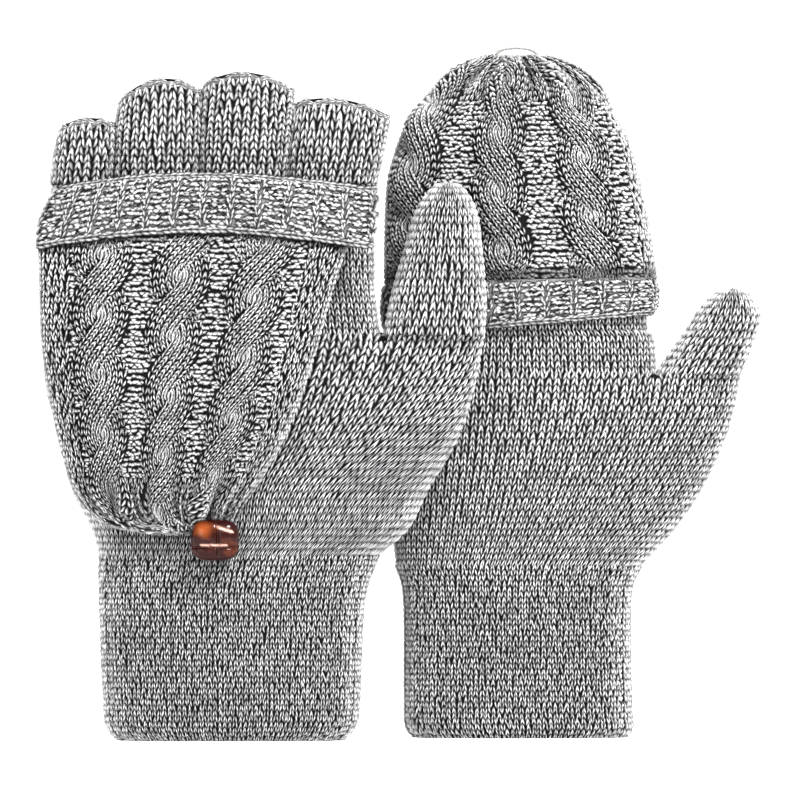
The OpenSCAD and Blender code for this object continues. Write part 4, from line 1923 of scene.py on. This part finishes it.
def right_cap() -> Cap:
    """The cap pulled over the fingers of the right mitten.

    Returns:
        The cap, whose tip points up.
    """
    front, back = RIGHT_Y - 18, RIGHT_Y + HINGE_OFF

    def row(z: float, left: float, right: float, dip: float, lean: float) -> tuple[float, ...]:
        """A section round the fingers, drawn in at its front and its back."""
        return (z, left, right, front + dip, back - lean)

    rows = [row(161, -5.4, 91.6, 0.9, 0.3), row(165.2, -6, 92.2, 0, 0), row(180, -6, 90.5, 0, 0),
            row(200, -5, 86.5, 0, 0), row(215, -1, 82.8, 0.5, 0.4), row(225, 4, 77.5, 3, 0.8),
            row(233, 10.4, 73.8, 6.5, 1.4), row(239, 17.3, 67, 11.5, 2.4), row(243, 25, 58.5, 18, 3.8),
            row(245, 31, 52.5, 22, 4.4)]
    band = [row(149, -6, 92, -0.6, 0), row(165, -6, 92.2, -0.8, 0)]
    return Cap(Side.RIGHT, rows, band, PulledEdge(), upward=1.0, wales=100, band_wales=90,
               ropes=(0.324, 0.472, 0.62), lean=1.0, hinge=(back, front), back_b=(0.043, 0.985), least_shade=0.5,
               knit_edge=(0.0, 0.03))


# ---------------------------------------------------------------------------
# Studio
# ---------------------------------------------------------------------------

@dataclass
class Studio:
    """Pale floor, soft lights and the camera."""

    distance: float = 3.2          # metres from the camera to the pair's middle
    frame_width: float = 0.2875    # metres across the view at that distance
    sensor_mm: float = 36.0
    camera_x: float = -0.0004
    camera_height: float = 0.1217
    aim_height: float = 0.12       # where the lights look
    floor_size: float = 40.0
    floor_glow: float = 0.3
    world: float = 1.15
    gamma: float = 0.85
    exposure: float = 0.15
    lights: tuple[tuple[str, tuple[float, float, float], float, float], ...] = (
        ("key", (0.8, -1.2, 1.7), 0.5, 62.0), ("fill", (-1.2, -1.6, 0.6), 1.0, 12.0),
        ("back", (0.3, 1.6, 1.5), 1.0, 34.0))   # name, place in metres, width in metres and power in watts

    def floor(self) -> None:
        """A wide pale floor."""
        white = (1, 1, 1, 1)
        material, shader, place = new_material("studio_paper", (0.9, 0.9, 0.9, 1), {
            "Roughness": 0.9, "Emission Color": white, "Emission Strength": self.floor_glow})
        tree = material.node_tree
        paper = add_mix(tree, add_noise(tree, place, 3.0, 2.0), (0.88, 0.88, 0.88, 1), (0.93, 0.93, 0.93, 1))
        tree.links.new(paper, shader.inputs["Base Color"])
        bpy.ops.object.select_all(action="DESELECT")
        bpy.ops.mesh.primitive_grid_add(x_subdivisions=8, y_subdivisions=8, size=self.floor_size, location=(0, 0, 0))
        sheet = bpy.context.active_object
        sheet.name = "studio_floor"
        sheet.data.materials.append(material)

    def light(self, name: str, place: tuple[float, float, float], size: float, power: float) -> None:
        """Adds an area light that looks at the middle of the pair.

        Args:
            name: Its name.
            place: Where it stands, in metres.
            size: Its width in metres.
            power: Its power in watts.
        """
        data = bpy.data.lights.new(name, "AREA")
        data.size, data.energy = size, power
        lamp = bpy.data.objects.new(name, data)
        lamp.location = place
        aim = Vector((0, 0, self.aim_height)) - lamp.location
        lamp.rotation_euler = aim.to_track_quat("-Z", "Y").to_euler()
        bpy.context.collection.objects.link(lamp)

    def camera(self) -> None:
        """Adds the camera, square on to the pair."""
        data = bpy.data.cameras.new("camera")
        data.sensor_width = self.sensor_mm
        data.lens = self.sensor_mm * self.distance / self.frame_width
        camera = bpy.data.objects.new("camera", data)
        camera.location = (self.camera_x, -self.distance, self.camera_height)
        camera.rotation_euler = (math.radians(90), 0, 0)
        bpy.context.collection.objects.link(camera)
        bpy.context.scene.camera = camera

    def build(self) -> None:
        """Sets up the whole studio."""
        self.camera()
        self.floor()
        for light in self.lights:
            self.light(*light)
        world = bpy.data.worlds.new("studio")
        world.use_nodes = True
        sky = world.node_tree.nodes["Background"]
        sky.inputs["Color"].default_value = (1, 1, 1, 1)
        sky.inputs["Strength"].default_value = self.world
        bpy.context.scene.world = world
        view = bpy.context.scene.view_settings
        view.view_transform = "Standard"
        view.gamma = self.gamma
        view.exposure = self.exposure


def main() -> None:
    """Builds the studio, both mittens and their caps."""
    logging.basicConfig(level=logging.INFO, format="%(name)s %(message)s")
    Studio().build()
    wardrobe = Wardrobe.stock()
    for piece in (left_mitten(), right_mitten(), left_cap(), right_cap()):
        piece.build(wardrobe)


if __name__ == "__main__":
    main()
